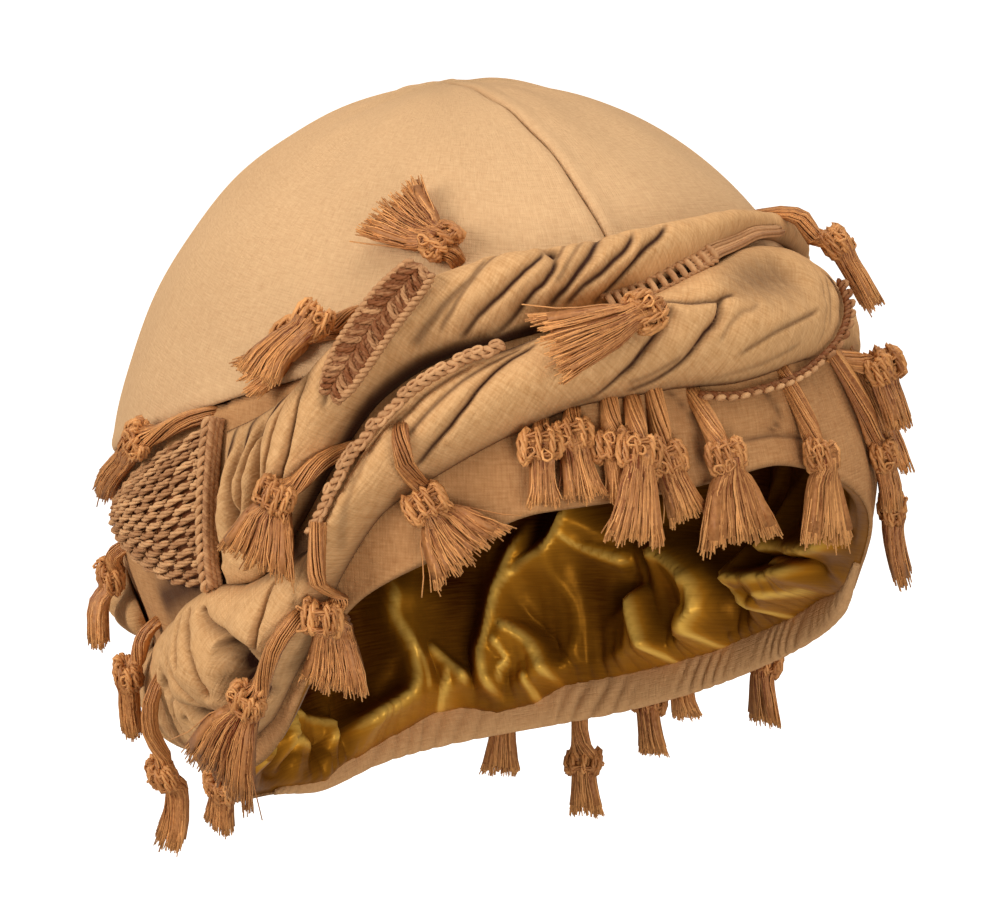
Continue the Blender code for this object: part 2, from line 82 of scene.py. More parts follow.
# Creases. As shares of a crease's width: how far its upper lip slides over it, how wide its slot and its
# shoulders are, and how far off it the cloth lies still. As shares of its depth: the slot and the
# shoulders. As a share of its length: the part at each end where it fades out.
LIP_SLIDE = 0.24
SLOT_WIDTH = 0.42
SHOULDER_WIDTH = 0.9
CREASE_REACH = 5.0
SLOT_DEPTH = 0.62
SHOULDER_DEPTH = 0.38
CREASE_TAPER = 0.12
# In millimetres: how deep a crease is whose lip slides in full, how deep one is whose painted shade is quite
# dark, and the thinnest painted dark line that still shows
LIP_FULL = 4.0
DARK_FULL = 6.5
LINE_LEAST = 0.42
# How much of the shallower crease is added where two meet, and how many steps a crease's line is read in
# between two of its places
MEETING = 0.35
CREASE_STEPS = 5

# Sewn seams, in millimetres: how deep the groove is and half its width, then how far beside it the cloth's
# ridge stands and half the ridge's width
SEAM_DEPTH = 0.8
SEAM_HALF = 0.7
RIDGE_BESIDE = 2.4
RIDGE_HALF = 1.8

# Strands: the shape of their section, where under 1 is fuller than a sine; the thickness from which one
# bulges in full, in millimetres; and how many of the sections stand in the seen part, up to which angle
ROLL_SHAPE = 0.7
FULL_THICK = 12.0
DENSE_SHARE = 0.68
DENSE_TO = 60.0
# A hollow in a strand this deep, in millimetres, takes quite dark painted shade
PIT_DARK = 6.6

# Points closer than this, in metres, are welded: in cloths, then in yarns
WELD_CLOTH = 2e-6
WELD_YARN = 1e-6

RIM = [
    # phi, z
    (-180, -76.5),
    (-164, -79.0),
    (-149, -75.5),
    (-130, -71.0),
    (-105, -61.0),
    (-85, -51.0),
    (-72, -44.0),
    (-64, -36.0),
    (-57, -24.0),
    (-49, -9.0),
    (-42, 1.0),
    (-30, 10.5),
    (-18, 18.0),
    (0, 19.0),
    (12, 20.0),
    (24, 14.0),
    (38, 1.0),
    (54, -19.0),
    (66, -34.0),
    (80, -44.0),
    (98, -54.0),
    (117, -63.0),
    (140, -70.5),
    (160, -74.0),
]
UPPER_TWIST = [
    # phi, top, bottom, thick
    (-67, 36.0, 1.0, 4.0),
    (-60, 40.0, 3.0, 8.0),
    (-52, 47.0, 15.0, 11.0),
    (-45, 54.0, 31.0, 13.0),
    (-38, 61.0, 44.0, 14.0),
    (-30, 67.0, 51.0, 14.0),
    (-20, 70.0, 54.5, 14.0),
    (-10, 71.0, 57.0, 13.0),
    (0, 71.5, 60.5, 11.0),
    (13, 72.0, 64.5, 8.0),
    (24, 71.5, 66.5, 6.0),
    (35, 70.0, 65.0, 4.5),
    (50, 66.0, 59.5, 4.0),
    (65, 60.0, 51.5, 4.0),
    (90, 50.0, 36.0, 6.0),
    (120, 32.0, 13.0, 8.0),
    (150, 12.0, -8.0, 9.0),
    (180, 0.0, -20.0, 10.0),
    (210, -6.0, -24.5, 9.0),
    (238, -8.0, -24.5, 7.0),
    (250, -12.0, -22.0, 3.0),
]
LOWER_TWIST = [
    # phi, top, bottom, thick
    (-110, -24.0, -50.0, 6.0),
    (-95, -16.0, -47.0, 6.5),
    (-85, -10.0, -43.0, 9.0),
    (-76, -6.0, -40.0, 11.5),
    (-65, -1.5, -32.0, 12.0),
    (-58, 1.0, -21.0, 11.0),
    (-50, 8.0, -7.0, 10.0),
    (-44, 21.0, 8.0, 10.0),
    (-38, 36.0, 20.0, 11.0),
    (-30, 48.0, 28.0, 12.0),
    (-20, 52.5, 35.5, 13.0),
    (-10, 55.5, 40.0, 13.0),
    (0, 59.0, 40.5, 13.0),
    (12, 63.0, 39.0, 12.0),
    (24, 65.0, 39.5, 9.5),
    (35, 63.5, 38.0, 6.5),
    (50, 58.0, 32.5, 4.2),
    (65, 50.0, 24.5, 4.2),
    (90, 34.5, 9.0, 6.0),
    (120, 11.5, -13.0, 8.5),
    (150, -9.5, -35.0, 10.0),
    (180, -21.5, -47.0, 10.0),
    (210, -26.0, -53.0, 9.0),
    (235, -26.5, -54.0, 7.0),
]
SCARF_END = [
    # phi, top, bottom, thick
    (-103, 15.0, 6.0, 3.0),
    (-98, 20.0, 3.0, 3.6),
    (-90, 26.0, 0.5, 4.2),
    (-80, 32.0, -1.0, 4.6),
    (-73, 36.0, 0.0, 4.6),
    (-68.5, 38.0, 1.5, 4.0),
]
CROCHET_PATCH = [
    # phi, z, half_width
    (-27.5, 65.5, 2.2),
    (-30.0, 62.0, 4.6),
    (-33.5, 57.0, 5.6),
    (-37.0, 50.5, 5.6),
    (-39.5, 45.0, 4.8),
    (-41.0, 41.5, 2.6),
]
PATCH_THICK = 2.4
EDGE_GAP = [
    # phi, z
    (-20, 50.0),
    (-25, 48.0),
    (-30, 44.0),
    (-35, 38.0),
    (-39, 31.5),
    (-42, 24.5),
    (-45, 16.0),
]
EDGE_LADDER = [
    # phi, z
    (-6, 57.8),
    (0, 59.7),
    (8, 62.2),
    (16, 64.6),
    (26, 65.7),
    (38, 64.0),
]
EDGE_BEADS = [
    # phi, z
    (4, 38.0),
    (10, 36.4),
    (17, 36.4),
    (24, 37.2),
    (31, 39.5),
    (37, 44.0),
    (41, 50.0),
]
EDGE_RADIUS = 1.7
TASSELS = [
    # name, root_phi, root_z, knot_phi, knot_z, tip_phi, tip_z, spread, knot_lift, tip_lift
    ("crown", -25.5, 70.5, -27.5, 73.5, -38.5, 81.0, 9.0, 0.4, 1.2),
    ("temple_a", -44.5, 58.5, -53.5, 56.0, -60.0, 47.0, 6.0, 0.4, 0.6),
    ("temple_b", -39.5, 62.5, -46.0, 57.5, -50.0, 45.0, 5.6, 4.0, 4.0),
    ("side_a", -41.5, 35.0, -48.5, 24.0, -52.0, 10.0, 10.5, 0.6, 2.0),
    ("side_b", -44.0, 14.0, -45.0, -1.0, -46.6, -19.0, 8.5, 0.5, 3.0),
    ("side_c", -48.5, -1.0, -58.0, -20.0, -67.0, -38.0, 11.0, 0.6, 2.0),
    ("brow_a", -33.0, 37.0, -31.3, 22.0, -26.5, 9.5, 10.5, 2.0, 3.0),
    ("front_a", -0.5, 53.0, -3.5, 51.5, -15.0, 47.0, 8.0, 0.5, 1.5),
    ("brow_b", -17.0, 35.5, -17.2, 32.5, -17.8, 20.0, 3.4, 0.4, 0.6),
    ("brow_c", -13.0, 37.0, -13.5, 34.0, -13.0, 20.5, 4.6, 0.4, 0.8),
    ("brow_d", -8.0, 38.5, -8.8, 31.0, -9.0, 19.5, 2.6, 0.4, 0.4),
    ("brow_e", -5.0, 38.5, -6.5, 28.6, -8.5, 9.7, 6.3, 5.0, 6.5),
    ("brow_f", -2.0, 38.5, -3.0, 26.5, -1.0, 13.3, 4.6, 0.4, 0.8),
    ("brow_g", 4.0, 34.5, 3.8, 25.0, 4.1, 5.4, 10.0, 3.5, 5.0),
    ("brow_h", 20.0, 33.0, 19.6, 20.0, 17.9, 0.5, 8.6, 1.5, 3.5),
    ("loop", 43.0, 70.5, 44.0, 57.0, 44.0, 43.0, 4.6, 3.0, 3.0),
    ("flank_a", 48.5, 32.0, 50.0, 29.5, 50.5, 16.0, 4.2, 4.2, 5.0),
    ("flank_b", 38.0, 36.0, 41.0, 31.5, 42.0, 18.5, 4.4, 4.2, 5.0),
    ("flank_c", 56.0, 28.5, 54.5, 18.0, 55.0, 5.0, 4.4, 0.6, 3.5),
    ("flank_d", 37.5, 33.0, 41.0, 13.0, 43.0, 0.5, 5.0, 0.4, 1.5),
    ("flank_e", 46.5, 31.5, 49.0, -2.0, 52.0, -19.0, 7.0, 0.4, 6.0),
    ("left_a", -106.0, 3.0, -111.0, -5.0, -112.5, -19.5, 5.6, 0.6, 4.0),
    ("left_b", -97.0, -13.0, -100.0, -24.0, -102.5, -37.0, 4.2, 0.6, 3.0),
    ("left_c", -89.0, -23.0, -95.0, -46.0, -99.0, -62.0, 5.6, 4.0, 12.0),
    ("fringe", -71.0, 40.0, -88.0, 31.5, -107.0, 16.5, 3.6, 0.6, 0.6),
    ("back_a", -82.0, -45.0, -84.5, -50.0, -89.0, -61.0, 4.8, 0.6, 1.0),
    ("back_b", 157.0, -41.0, 157.5, -68.0, 159.0, -82.0, 5.0, 1.0, 1.0),
    ("back_c", 143.0, -33.0, 143.5, -80.0, 143.8, -94.0, 4.4, 1.0, 1.0),
    ("back_d", 130.0, -24.0, 129.5, -64.0, 129.0, -78.0, 3.8, 1.0, 1.0),
    ("back_e", 123.0, -18.0, 122.5, -57.0, 120.8, -68.0, 3.8, 1.0, 1.0),
    ("back_f", 101.0, -3.0, 101.0, -51.5, 101.3, -67.5, 5.6, 1.0, 1.0),
]
BUNDLE_HALF = 1.7
KNOT_HALF = 3.7
SKIRT_HALF_THICK = 2.3
ROOT_REACH = 0.7
ROOT_DIVE = 4.0  # how far the end of a bundle goes into the cloth it is sewn to
KNOT_FULL = 1.3  # the knot's wraps stand this much wider than its solid
# How far a bundle that hangs from the scarf's edge starts up under it, in millimetres
TUCKS = {
    "side_b": 5.0, "brow_b": 3.5, "brow_c": 3.5, "brow_d": 3.5, "brow_e": 4.0, "brow_f": 4.5, "brow_g": 8.0,
    "brow_h": 8.0, "flank_a": 3.5, "flank_b": 4.0, "flank_c": 3.5, "flank_d": 7.0, "flank_e": 5.0,
    "back_b": 8.0, "back_c": 6.0, "back_d": 7.0, "back_e": 7.0, "back_f": 8.0,
}
TUCK_DIVE = 1.2  # how far such a bundle leans in, instead of ROOT_DIVE

# Creases pressed into the scarf: places along each, how wide its shoulders are and how deep it goes
UPPER_CREASES = [
    # width, depth, places (phi, z)
    (2.0, 6.5, [(-12.6, 67.5), (-15.2, 64.3), (-18.7, 60.9), (-22.0, 58.2), (-23.7, 56.3), (-26.2, 53.8)]),
    (2.2, 8.0, [(-11.6, 66.0), (-13.4, 62.5), (-16.3, 59.3), (-19.8, 56.0), (-22.4, 54.4)]),
    (2.5, 9.0, [(-2.5, 71.5), (-4.8, 68.5), (-8.1, 64.5), (-11.9, 60.3), (-14.4, 57.6)]),
    (1.8, 6.0, [(0.5, 68.6), (-1.9, 66.2), (-4.8, 64.1), (-8.9, 60.8), (-12.0, 58.0)]),
    (1.6, 5.0, [(1.0, 66.0), (-1.4, 63.8), (-4.8, 61.1), (-8.0, 58.4)]),
    (1.8, 6.0, [(6.5, 69.0), (3.9, 67.0), (0.5, 65.1), (-3.6, 62.1), (-7.2, 59.0)]),
    (3.4, 3.6, [(-20.5, 67.0), (-22.9, 62.9), (-26.3, 59.4), (-29.4, 55.4), (-32.2, 52.0)]),
    (1.8, 3.4, [(-17.0, 71.0), (-20.4, 65.5), (-24.6, 60.0), (-28.4, 54.0)]),
    (1.5, 3.0, [(-7.0, 72.5), (-10.0, 68.0), (-12.6, 64.5)]),
    (1.4, 2.6, [(-6.5, 69.5), (-9.4, 65.8), (-13.0, 61.0)]),
    (2.6, 3.6, [(-24.0, 75.0), (-30.0, 64.0), (-36.4, 50.5)]),
    (2.8, 7.0, [(-63.6, 42.0), (-64.6, 34.0), (-66.2, 28.4), (-66.4, 18.0), (-65.0, 6.0)]),
    (3.0, 8.0, [(-58.2, 45.0), (-60.7, 36.8), (-61.2, 32.6), (-62.8, 25.8), (-62.5, 22.9), (-61.0, 16.0),
                (-61.0, 8.0)]),
    (2.6, 7.0, [(-54.4, 44.5), (-57.5, 35.5), (-58.7, 30.8), (-59.5, 26.0), (-59.5, 22.0), (-60.6, 17.0)]),
    (3.4, 9.0, [(-52.0, 50.0), (-56.0, 37.7), (-55.4, 30.2), (-55.4, 26.6), (-56.4, 20.0), (-57.6, 10.0)]),
    (1.5, 3.5, [(-48.2, 54.0), (-50.6, 42.0), (-52.6, 30.0), (-54.0, 20.0)]),
    (1.8, 4.5, [(-45.9, 57.0), (-46.2, 46.0), (-48.5, 34.0), (-51.6, 24.0)]),
    (1.8, 3.6, [(-41.5, 60.0), (-41.0, 50.0), (-43.4, 40.0)]),
]
LOWER_CREASES = [
    # width, depth, places (phi, z)
    (1.9, 7.0, [(-15.0, 50.6), (-17.7, 48.7), (-20.3, 46.4), (-22.8, 43.4), (-26.6, 37.7), (-30.2, 32.6),
                (-33.0, 28.0)]),
    (1.7, 4.0, [(-17.0, 50.6), (-22.0, 47.2), (-26.0, 43.6), (-30.0, 38.5), (-33.5, 33.0)]),
    (1.5, 3.0, [(-24.0, 48.0), (-29.5, 43.0), (-34.5, 35.5)]),
    (1.7, 5.0, [(-3.5, 48.5), (-5.6, 45.8), (-7.1, 43.9), (-10.6, 40.6), (-14.0, 39.4)]),
    (2.1, 8.5, [(9.4, 54.4), (7.5, 52.0), (6.5, 50.0), (4.3, 48.1), (0.4, 44.1), (-3.1, 42.0), (-7.0, 40.8)]),
    (2.0, 7.5, [(1.5, 53.4), (-1.7, 49.8), (-3.8, 47.5), (-7.5, 43.3), (-10.6, 40.4)]),
    (1.2, 3.4, [(28.0, 47.6), (19.8, 46.8), (14.9, 45.9), (11.5, 44.8), (7.8, 43.2)]),
    (1.9, 1.8, [(13.6, 51.4), (12.3, 50.5), (9.5, 49.5), (7.5, 48.1), (5.4, 45.6)]),
    (1.2, 2.4, [(1.0, 45.4), (-0.7, 44.6), (-3.4, 43.2), (-6.4, 42.2)]),
    (2.0, 5.0, [(0.0, 55.0), (1.6, 54.3), (3.8, 53.4), (6.8, 53.0), (11.0, 53.6)]),
    (1.4, 2.4, [(22.0, 43.0), (12.0, 41.0), (4.0, 40.5)]),
    (2.6, 8.0, [(-70.0, -3.0), (-67.7, -6.5), (-62.4, -8.9), (-58.2, -11.4), (-56.0, -15.0)]),
    (4.2, 10.0, [(-65.0, -10.5), (-62.5, -13.0), (-61.7, -15.6), (-62.2, -18.8), (-63.0, -25.0)]),
    (2.2, 6.5, [(-74.0, -4.0), (-72.8, -9.0), (-71.4, -13.0), (-70.3, -17.0), (-70.0, -24.0)]),
    (2.2, 6.0, [(-80.0, -8.0), (-79.4, -14.0), (-79.2, -18.2), (-76.4, -23.3), (-72.6, -27.3)]),
    (4.0, 10.0, [(-88.0, -24.0), (-84.0, -27.0), (-80.3, -29.6), (-74.5, -29.6), (-69.0, -28.0)]),
    (1.4, 3.0, [(-76.5, -6.0), (-75.4, -12.0), (-74.6, -18.0)]),
    (1.4, 3.0, [(-84.0, -10.0), (-83.4, -17.0), (-82.0, -24.0)]),
    (2.2, 5.0, [(-84.0, -32.0), (-80.0, -36.0), (-74.0, -38.0)]),
    (1.5, 3.0, [(-52.0, 9.0), (-55.0, -3.0), (-58.0, -12.0)]),
]
# Folds in the band under the scarf, darkened with painted shade
BAND_CREASES = [
    # width, depth, places (phi, z)
    (2.4, 3.6, [(-0.6, 42.0), (0.8, 40.1), (2.2, 36.7), (3.3, 32.7), (3.3, 28.9), (2.5, 22.0)]),
    (3.2, 4.0, [(15.0, 37.0), (16.2, 34.8), (16.8, 31.2), (16.2, 28.6), (13.6, 26.6)]),
    (3.4, 2.6, [(-14.6, 39.0), (-15.4, 33.0), (-16.2, 27.0), (-16.6, 20.0)]),
    (2.6, 2.2, [(-19.2, 40.0), (-20.2, 32.0), (-20.4, 22.0)]),
    (2.2, 4.0, [(6.0, 27.6), (9.6, 27.0), (13.1, 26.7), (17.6, 25.4), (21.5, 22.6), (25.5, 18.6)]),
    # Mostly painted shadow: a wide shallow fold whose dark stands for the shadow under the scarf's end and
    # the lobe
    (12.0, 9.0, [(-96.0, -10.5), (-86.0, -4.5), (-78.0, -1.0), (-72.0, 2.0), (-66.0, 5.0), (-56.0, 9.0),
                 (-48.0, 16.0)]),
]
# The deepest that a fold of the band goes, in millimetres, so that it stays outside the lining
BAND_REACH = 0.8
# Where painted shade darkens the gap between the two strands, as a share of full dark
GAP_SHADE = [
    # phi, share
    (-62.0, 0.0),
    (-54.0, 0.8),
    (-46.0, 1.0),
    (-16.0, 1.0),
    (-8.0, 0.0),
]
# How much higher the lower strand puffs up at the left than its solid, under the upper one's pleats
LOBE_PUFF = [
    # phi, millimetres
    (-84.0, 0.0),
    (-78.0, 2.5),
    (-70.0, 4.5),
    (-62.0, 3.0),
    (-56.0, 4.5),
    (-51.0, 4.0),
    (-46.0, 0.0),
]
# How much of a crease's depth shows as relief; the rest of it is only painted shade
CREASE_RELIEF = [
    # phi, share
    (-54.0, 1.0),
    (-44.0, 0.36),
    (45.0, 0.36),
    (60.0, 0.8),
]
# How far the satin spills over the hem, where a fold falls on it
SATIN_SPILL = [
    # phi, millimetres
    (145.0, 0.0),
    (151.0, 3.2),
    (158.0, 3.8),
    (164.0, 1.0),
    (170.0, 0.8),
    (176.0, 3.0),
    (186.0, 5.0),
    (196.0, 4.6),
    (206.0, 3.0),
    (216.0, 0.0),
]
# Round hollows in the strands, where folds meet; each also takes painted shade, darker the deeper it is
UPPER_DENTS = [
    # phi, z, radius, depth
    (-12.0, 67.1, 1.7, 7.0),
]
LOWER_DENTS = [
    # phi, z, radius, depth
    (11.6, 54.4, 3.4, 3.4),
    (13.5, 55.0, 4.4, 4.4),
    (15.5, 55.6, 5.0, 5.0),
    (17.5, 56.0, 5.2, 5.4),
    (19.5, 56.2, 5.4, 5.6),
    (21.7, 56.2, 5.2, 5.5),
    (24.0, 56.0, 4.8, 5.2),
    (-61.5, -15.0, 4.4, 9.5),
    (-62.4, -20.0, 4.0, 10.0),
]

# Ridges of the satin folds, inwards from the cap
SATIN_FOLDS = [
    # width, height, lit, places (phi, z); lit is the side of the crest that slopes gently and takes more
    # painted light, 0 for both
    (12.0, 12.0, -1, [(173.0, -28.0), (174.1, -36.9), (174.9, -42.0), (174.0, -47.8), (172.9, -54.0),
                      (173.4, -59.7), (175.0, -63.5), (179.0, -66.0), (186.0, -68.5), (193.0, -71.0)]),
    (3.0, 9.0, 0, [(174.2, -50.0), (171.7, -56.2), (171.4, -60.4), (171.5, -64.0)]),
    (7.0, 10.0, 1, [(169.8, -51.0), (168.1, -54.0), (166.0, -57.4), (164.0, -60.4), (162.6, -63.5)]),
    (7.0, 9.0, -1, [(165.6, -57.5), (166.6, -60.5), (168.0, -64.5), (169.0, -69.0)]),
    (10.0, 13.0, -1, [(147.5, -20.0), (152.3, -30.7), (155.0, -40.0), (157.3, -49.6), (159.2, -56.0),
                      (159.2, -61.0), (157.6, -65.0), (154.5, -68.0)]),
    (12.0, 12.0, 1, [(155.6, -46.5), (151.1, -49.9), (148.2, -53.5), (146.6, -58.4), (145.0, -64.0)]),
    (3.0, 9.0, 0, [(156.4, -50.5), (154.6, -54.5), (153.8, -57.2), (155.8, -60.0), (156.8, -64.5)]),
    (3.0, 6.0, 0, [(150.6, -60.5), (150.2, -63.5), (149.8, -68.0)]),
    (16.0, 12.0, -1, [(138.0, -12.0), (141.0, -19.7), (143.6, -25.4), (147.8, -29.7), (152.5, -34.2),
                      (156.2, -41.0)]),
    (4.0, 8.0, 1, [(141.8, -20.5), (138.6, -25.7), (133.0, -28.8), (128.0, -31.0)]),
    (12.0, 11.0, 1, [(127.0, -36.0), (124.6, -43.1), (123.0, -48.8), (121.0, -53.5), (118.0, -58.0),
                     (114.0, -62.0)]),
    (14.0, 13.0, 1, [(126.0, -25.0), (120.7, -26.3), (116.4, -27.4), (111.0, -30.2), (107.0, -34.0),
                     (106.1, -40.0), (108.0, -45.6), (108.0, -49.6), (103.0, -51.5), (98.0, -50.5),
                     (92.0, -47.5)]),
    (9.0, 10.0, -1, [(98.0, -27.0), (93.8, -30.4), (91.4, -34.0), (89.0, -37.0), (83.0, -39.5)]),
    (9.0, 12.0, 1, [(99.0, -29.8), (90.7, -28.9), (80.7, -26.8), (74.0, -24.4), (61.0, -20.5)]),
    (9.0, 10.0, -1, [(92.0, -20.0), (80.2, -19.0), (66.0, -16.4), (55.6, -13.2), (49.0, -9.0)]),
    (2.6, 7.0, 0, [(84.0, -23.8), (76.0, -23.4), (66.9, -21.4)]),
    (3.4, 8.0, 0, [(84.0, -32.6), (77.0, -30.6), (66.0, -26.6)]),
    (8.0, 4.5, 1, [(206.0, -56.0), (201.7, -61.8), (196.0, -65.0), (193.4, -68.0), (196.5, -72.0)]),
    (6.0, 3.5, -1, [(214.0, -60.0), (207.0, -66.0), (200.0, -70.5)]),
    (6.0, 13.0, 1, [(-160.0, -30.0), (-157.0, -50.0), (-150.0, -62.0), (-147.0, -72.0)]),
    (5.0, 12.0, -1, [(-142.0, -28.0), (-137.0, -45.0), (-134.0, -58.0), (-126.0, -68.0)]),
    (5.5, 12.0, 1, [(-122.0, -20.0), (-118.0, -38.0), (-112.0, -52.0), (-106.0, -60.0)]),
    (5.0, 11.0, -1, [(-100.0, -10.0), (-96.0, -30.0), (-90.0, -42.0), (-86.0, -50.0)]),
]
# How round the crest of a satin fold is and how gently its steep side falls, in millimetres
CREST_ROUND = 0.6
SATIN_STEEP = 2.2
# The stretch of the lining whose folds are all in the table, in degrees; the others are made up
SATIN_SEEN = (52.0, 228.0)

# How many degrees a strand takes to rise to its full height from the end that shows
END_ROUND = 2.2

# Finishes, as sRGB hex values
CAP_COTTON = ("#D4AC7E", "#BF9468")
# The band's cotton is darker than the cap's: painted shade for the shadow under the scarf
BAND_COTTON_PAINTED_SHADE = ("#C08E5C", "#A06C3E")
HEM_COTTON = ("#E2B07A", "#C8925E")
SCARF_COTTON = ("#DEAE78", "#BA8752")
# The dark brown of painted shade in the cotton's creases, hollows and gaps
PAINTED_SHADE_BROWN = "#3A1A08"
# Satin: a painted highlight for the crests, the cloth, painted shade for the hollows, and the tint of its
# real sheen
SATIN_PAINTED_HIGHLIGHT = "#F2BE58"
SATIN_CLOTH = "#B4761E"
SATIN_PAINTED_SHADE = "#380F03"
SATIN_SHEEN = "#E2A23C"
YARN_DARK = "#74340C"
YARN_LIGHT = "#EBA763"
CROCHET_DARK = "#7A431B"
CROCHET_LIGHT = "#DDA974"


def spaced_curve(rows, column):
    """A smooth curve through one column of a table, for arrays; flat beyond its ends."""
    xs = np.array([row[0] for row in rows], float)
    ys = np.array([row[column] for row in rows], float)
    return lambda x: hermite(xs, ys, np.clip(x, xs[0], xs[-1]))


def round_curve(rows, column):
    """The same right round the cap, for a table whose first column is phi."""
    xs = np.array([row[0] for row in rows], float)
    ys = np.array([row[column] for row in rows], float)
    xs_round = np.concatenate([[xs[-1] - 360.0], xs, [xs[0] + 360.0, xs[1] + 360.0]])
    ys_round = np.concatenate([[ys[-1]], ys, [ys[0], ys[1]]])
    return lambda phi: hermite(xs_round, ys_round, (phi - xs[0]) % 360.0 + xs[0])


def hermite(xs, ys, x):
    """Cubic through the points (xs, ys) that never overshoots the two rows it lies between."""
    rises = np.diff(ys) / np.diff(xs)
    slopes = np.concatenate([[rises[0]], np.zeros(len(xs) - 2), [rises[-1]]])
    before, after = rises[:-1], rises[1:]
    same = before * after > 0.0
    slopes[1:-1][same] = 2.0 * (before * after)[same] / (before + after)[same]
    i = np.clip(np.searchsorted(xs, x, side="right") - 1, 0, len(xs) - 2)
    span = (xs[1:] - xs[:-1])[i]
    t = (x - xs[i]) / span
    rise = (ys[1:] - ys[:-1])[i]
    m0, m1 = slopes[i], slopes[i + 1]
    return ys[i] + t * (m0 * span + t * (3.0 * rise - (2.0 * m0 + m1) * span
                                         + t * ((m0 + m1) * span - 2.0 * rise)))


def ease(share):
    """A smooth step from 0 to 1 as share goes from 0 to 1."""
    share = np.clip(share, 0.0, 1.0)
    return share * share * (3.0 - 2.0 * share)


def unit(vectors):
    """Rows of vectors, each made one long."""
    return vectors / np.linalg.norm(vectors, axis=-1, keepdims=True)


def on_cap(phi, z, out=0.0):
    """Points out millimetres off the cap's outside, in metres."""
    phi, z, out = np.broadcast_arrays(np.asarray(phi, float), z, out)
    curve = np.where(z >= 0.0, CROWN_RISE, LOWER_CURVE)
    lean = np.sqrt(np.maximum(0.0, 1.0 - (z / curve) ** 2)) - DRAW_IN * ease((DRAW_TOP - z) / DRAW_DEPTH)
    turn = np.radians(phi)
    reach = HALF_WIDTH * HALF_LENGTH * lean / np.hypot(HALF_LENGTH * np.sin(turn), HALF_WIDTH * np.cos(turn))
    x, y = reach * np.sin(turn), -reach * np.cos(turn)
    normal = unit(np.stack([x / HALF_WIDTH ** 2, y / HALF_LENGTH ** 2, z / curve ** 2], -1))
    return (np.stack([x, y, z - LIFT], -1) + out[..., None] * normal) * MM


rim_height = round_curve(RIM, 1)


def join_height(phi):
    """Height of the seam between the dome panels and the side band."""
    return JOIN_MEAN + JOIN_SWING * np.cos(np.radians(phi))


def hem_height(phi):
    """Height of the elastic casing, which fades out towards the temples."""
    turn = np.asarray(phi) % 360.0
    return HEM_HEIGHT * ease(np.minimum(turn - HEM_START, HEM_END - turn) / HEM_FADE)


def hanging(phi, z, out):
    """A place off the cap as on_cap gives it, and straight down from the rim below the rim."""
    level = np.maximum(z, rim_height(phi))
    place = on_cap(phi, level, out)
    place[..., 2] += (z - level) * MM
    return place


UPPER_CURVES = [spaced_curve(UPPER_TWIST, column) for column in (1, 2, 3)]
LOWER_CURVES = [round_curve(LOWER_TWIST, column) for column in (1, 2, 3)]
END_CURVES = [spaced_curve(SCARF_END, column) for column in (1, 2, 3)]


def roll(share, thick):
    """Outside of a strand across its width, without its creases."""
    return np.sin(math.pi * np.clip(share, 0.0, 1.0)) ** ROLL_SHAPE * thick


def cover(phi, z):
    """How far the scarf already stands off the cap at some places."""
    phi, z = np.broadcast_arrays(np.asarray(phi, float), z)
    height = np.zeros(phi.shape)
    turn = np.where(phi >= UPPER_TWIST[0][0], phi, phi + 360.0)
    for curves, angle, first, last in (
            (LOWER_CURVES, phi, -720.0, 720.0),
            (UPPER_CURVES, turn, UPPER_TWIST[0][0], UPPER_TWIST[-1][0]),
            (END_CURVES, phi, SCARF_END[0][0], SCARF_END[-1][0])):
        top, bottom, thick = (curve(angle) for curve in curves)
        share = (z - bottom) / (top - bottom)
        inside = (share > 0.0) & (share < 1.0) & (angle >= first) & (angle <= last)
        swollen = thick + 1.5 * np.minimum(thick / FULL_THICK, 1.0)
        height = np.where(inside, np.maximum(height, roll(share, swollen)), height)
    return height


def highest_cover(phi, z, reach):
    """The most that the scarf stands off the cap within reach millimetres of a place."""
    steps = np.linspace(-1.0, 1.0, 5)
    a, b = np.meshgrid(steps, steps)
    return float(cover(phi + a * math.degrees(reach / HALF_LENGTH), z + b * reach).max())


def linear(value):
    """A colour from its sRGB hex value, for a shader."""
    parts = [int(value[i:i + 2], 16) / 255.0 for i in (1, 3, 5)]
    return tuple(p / 12.92 if p <= 0.04045 else ((p + 0.055) / 1.055) ** 2.4 for p in parts) + (1.0,)


def add(tree, kind, inputs=None, **settings):
    """Add a node with its settings; an input takes a value or another node's output."""
    made = tree.nodes.new(kind)
    for name, value in settings.items():
        setattr(made, name, value)
    for name, value in (inputs or {}).items():
        if isinstance(value, bpy.types.NodeSocket):
            tree.links.new(value, made.inputs[name])
        else:
            made.inputs[name].default_value = value
    return made


def new_finish(name):
    """A material with its tree emptied down to one Principled shader and its output."""
    finish = bpy.data.materials.new(name)
    finish.use_nodes = True
    return finish, finish.node_tree, finish.node_tree.nodes["Principled BSDF"]


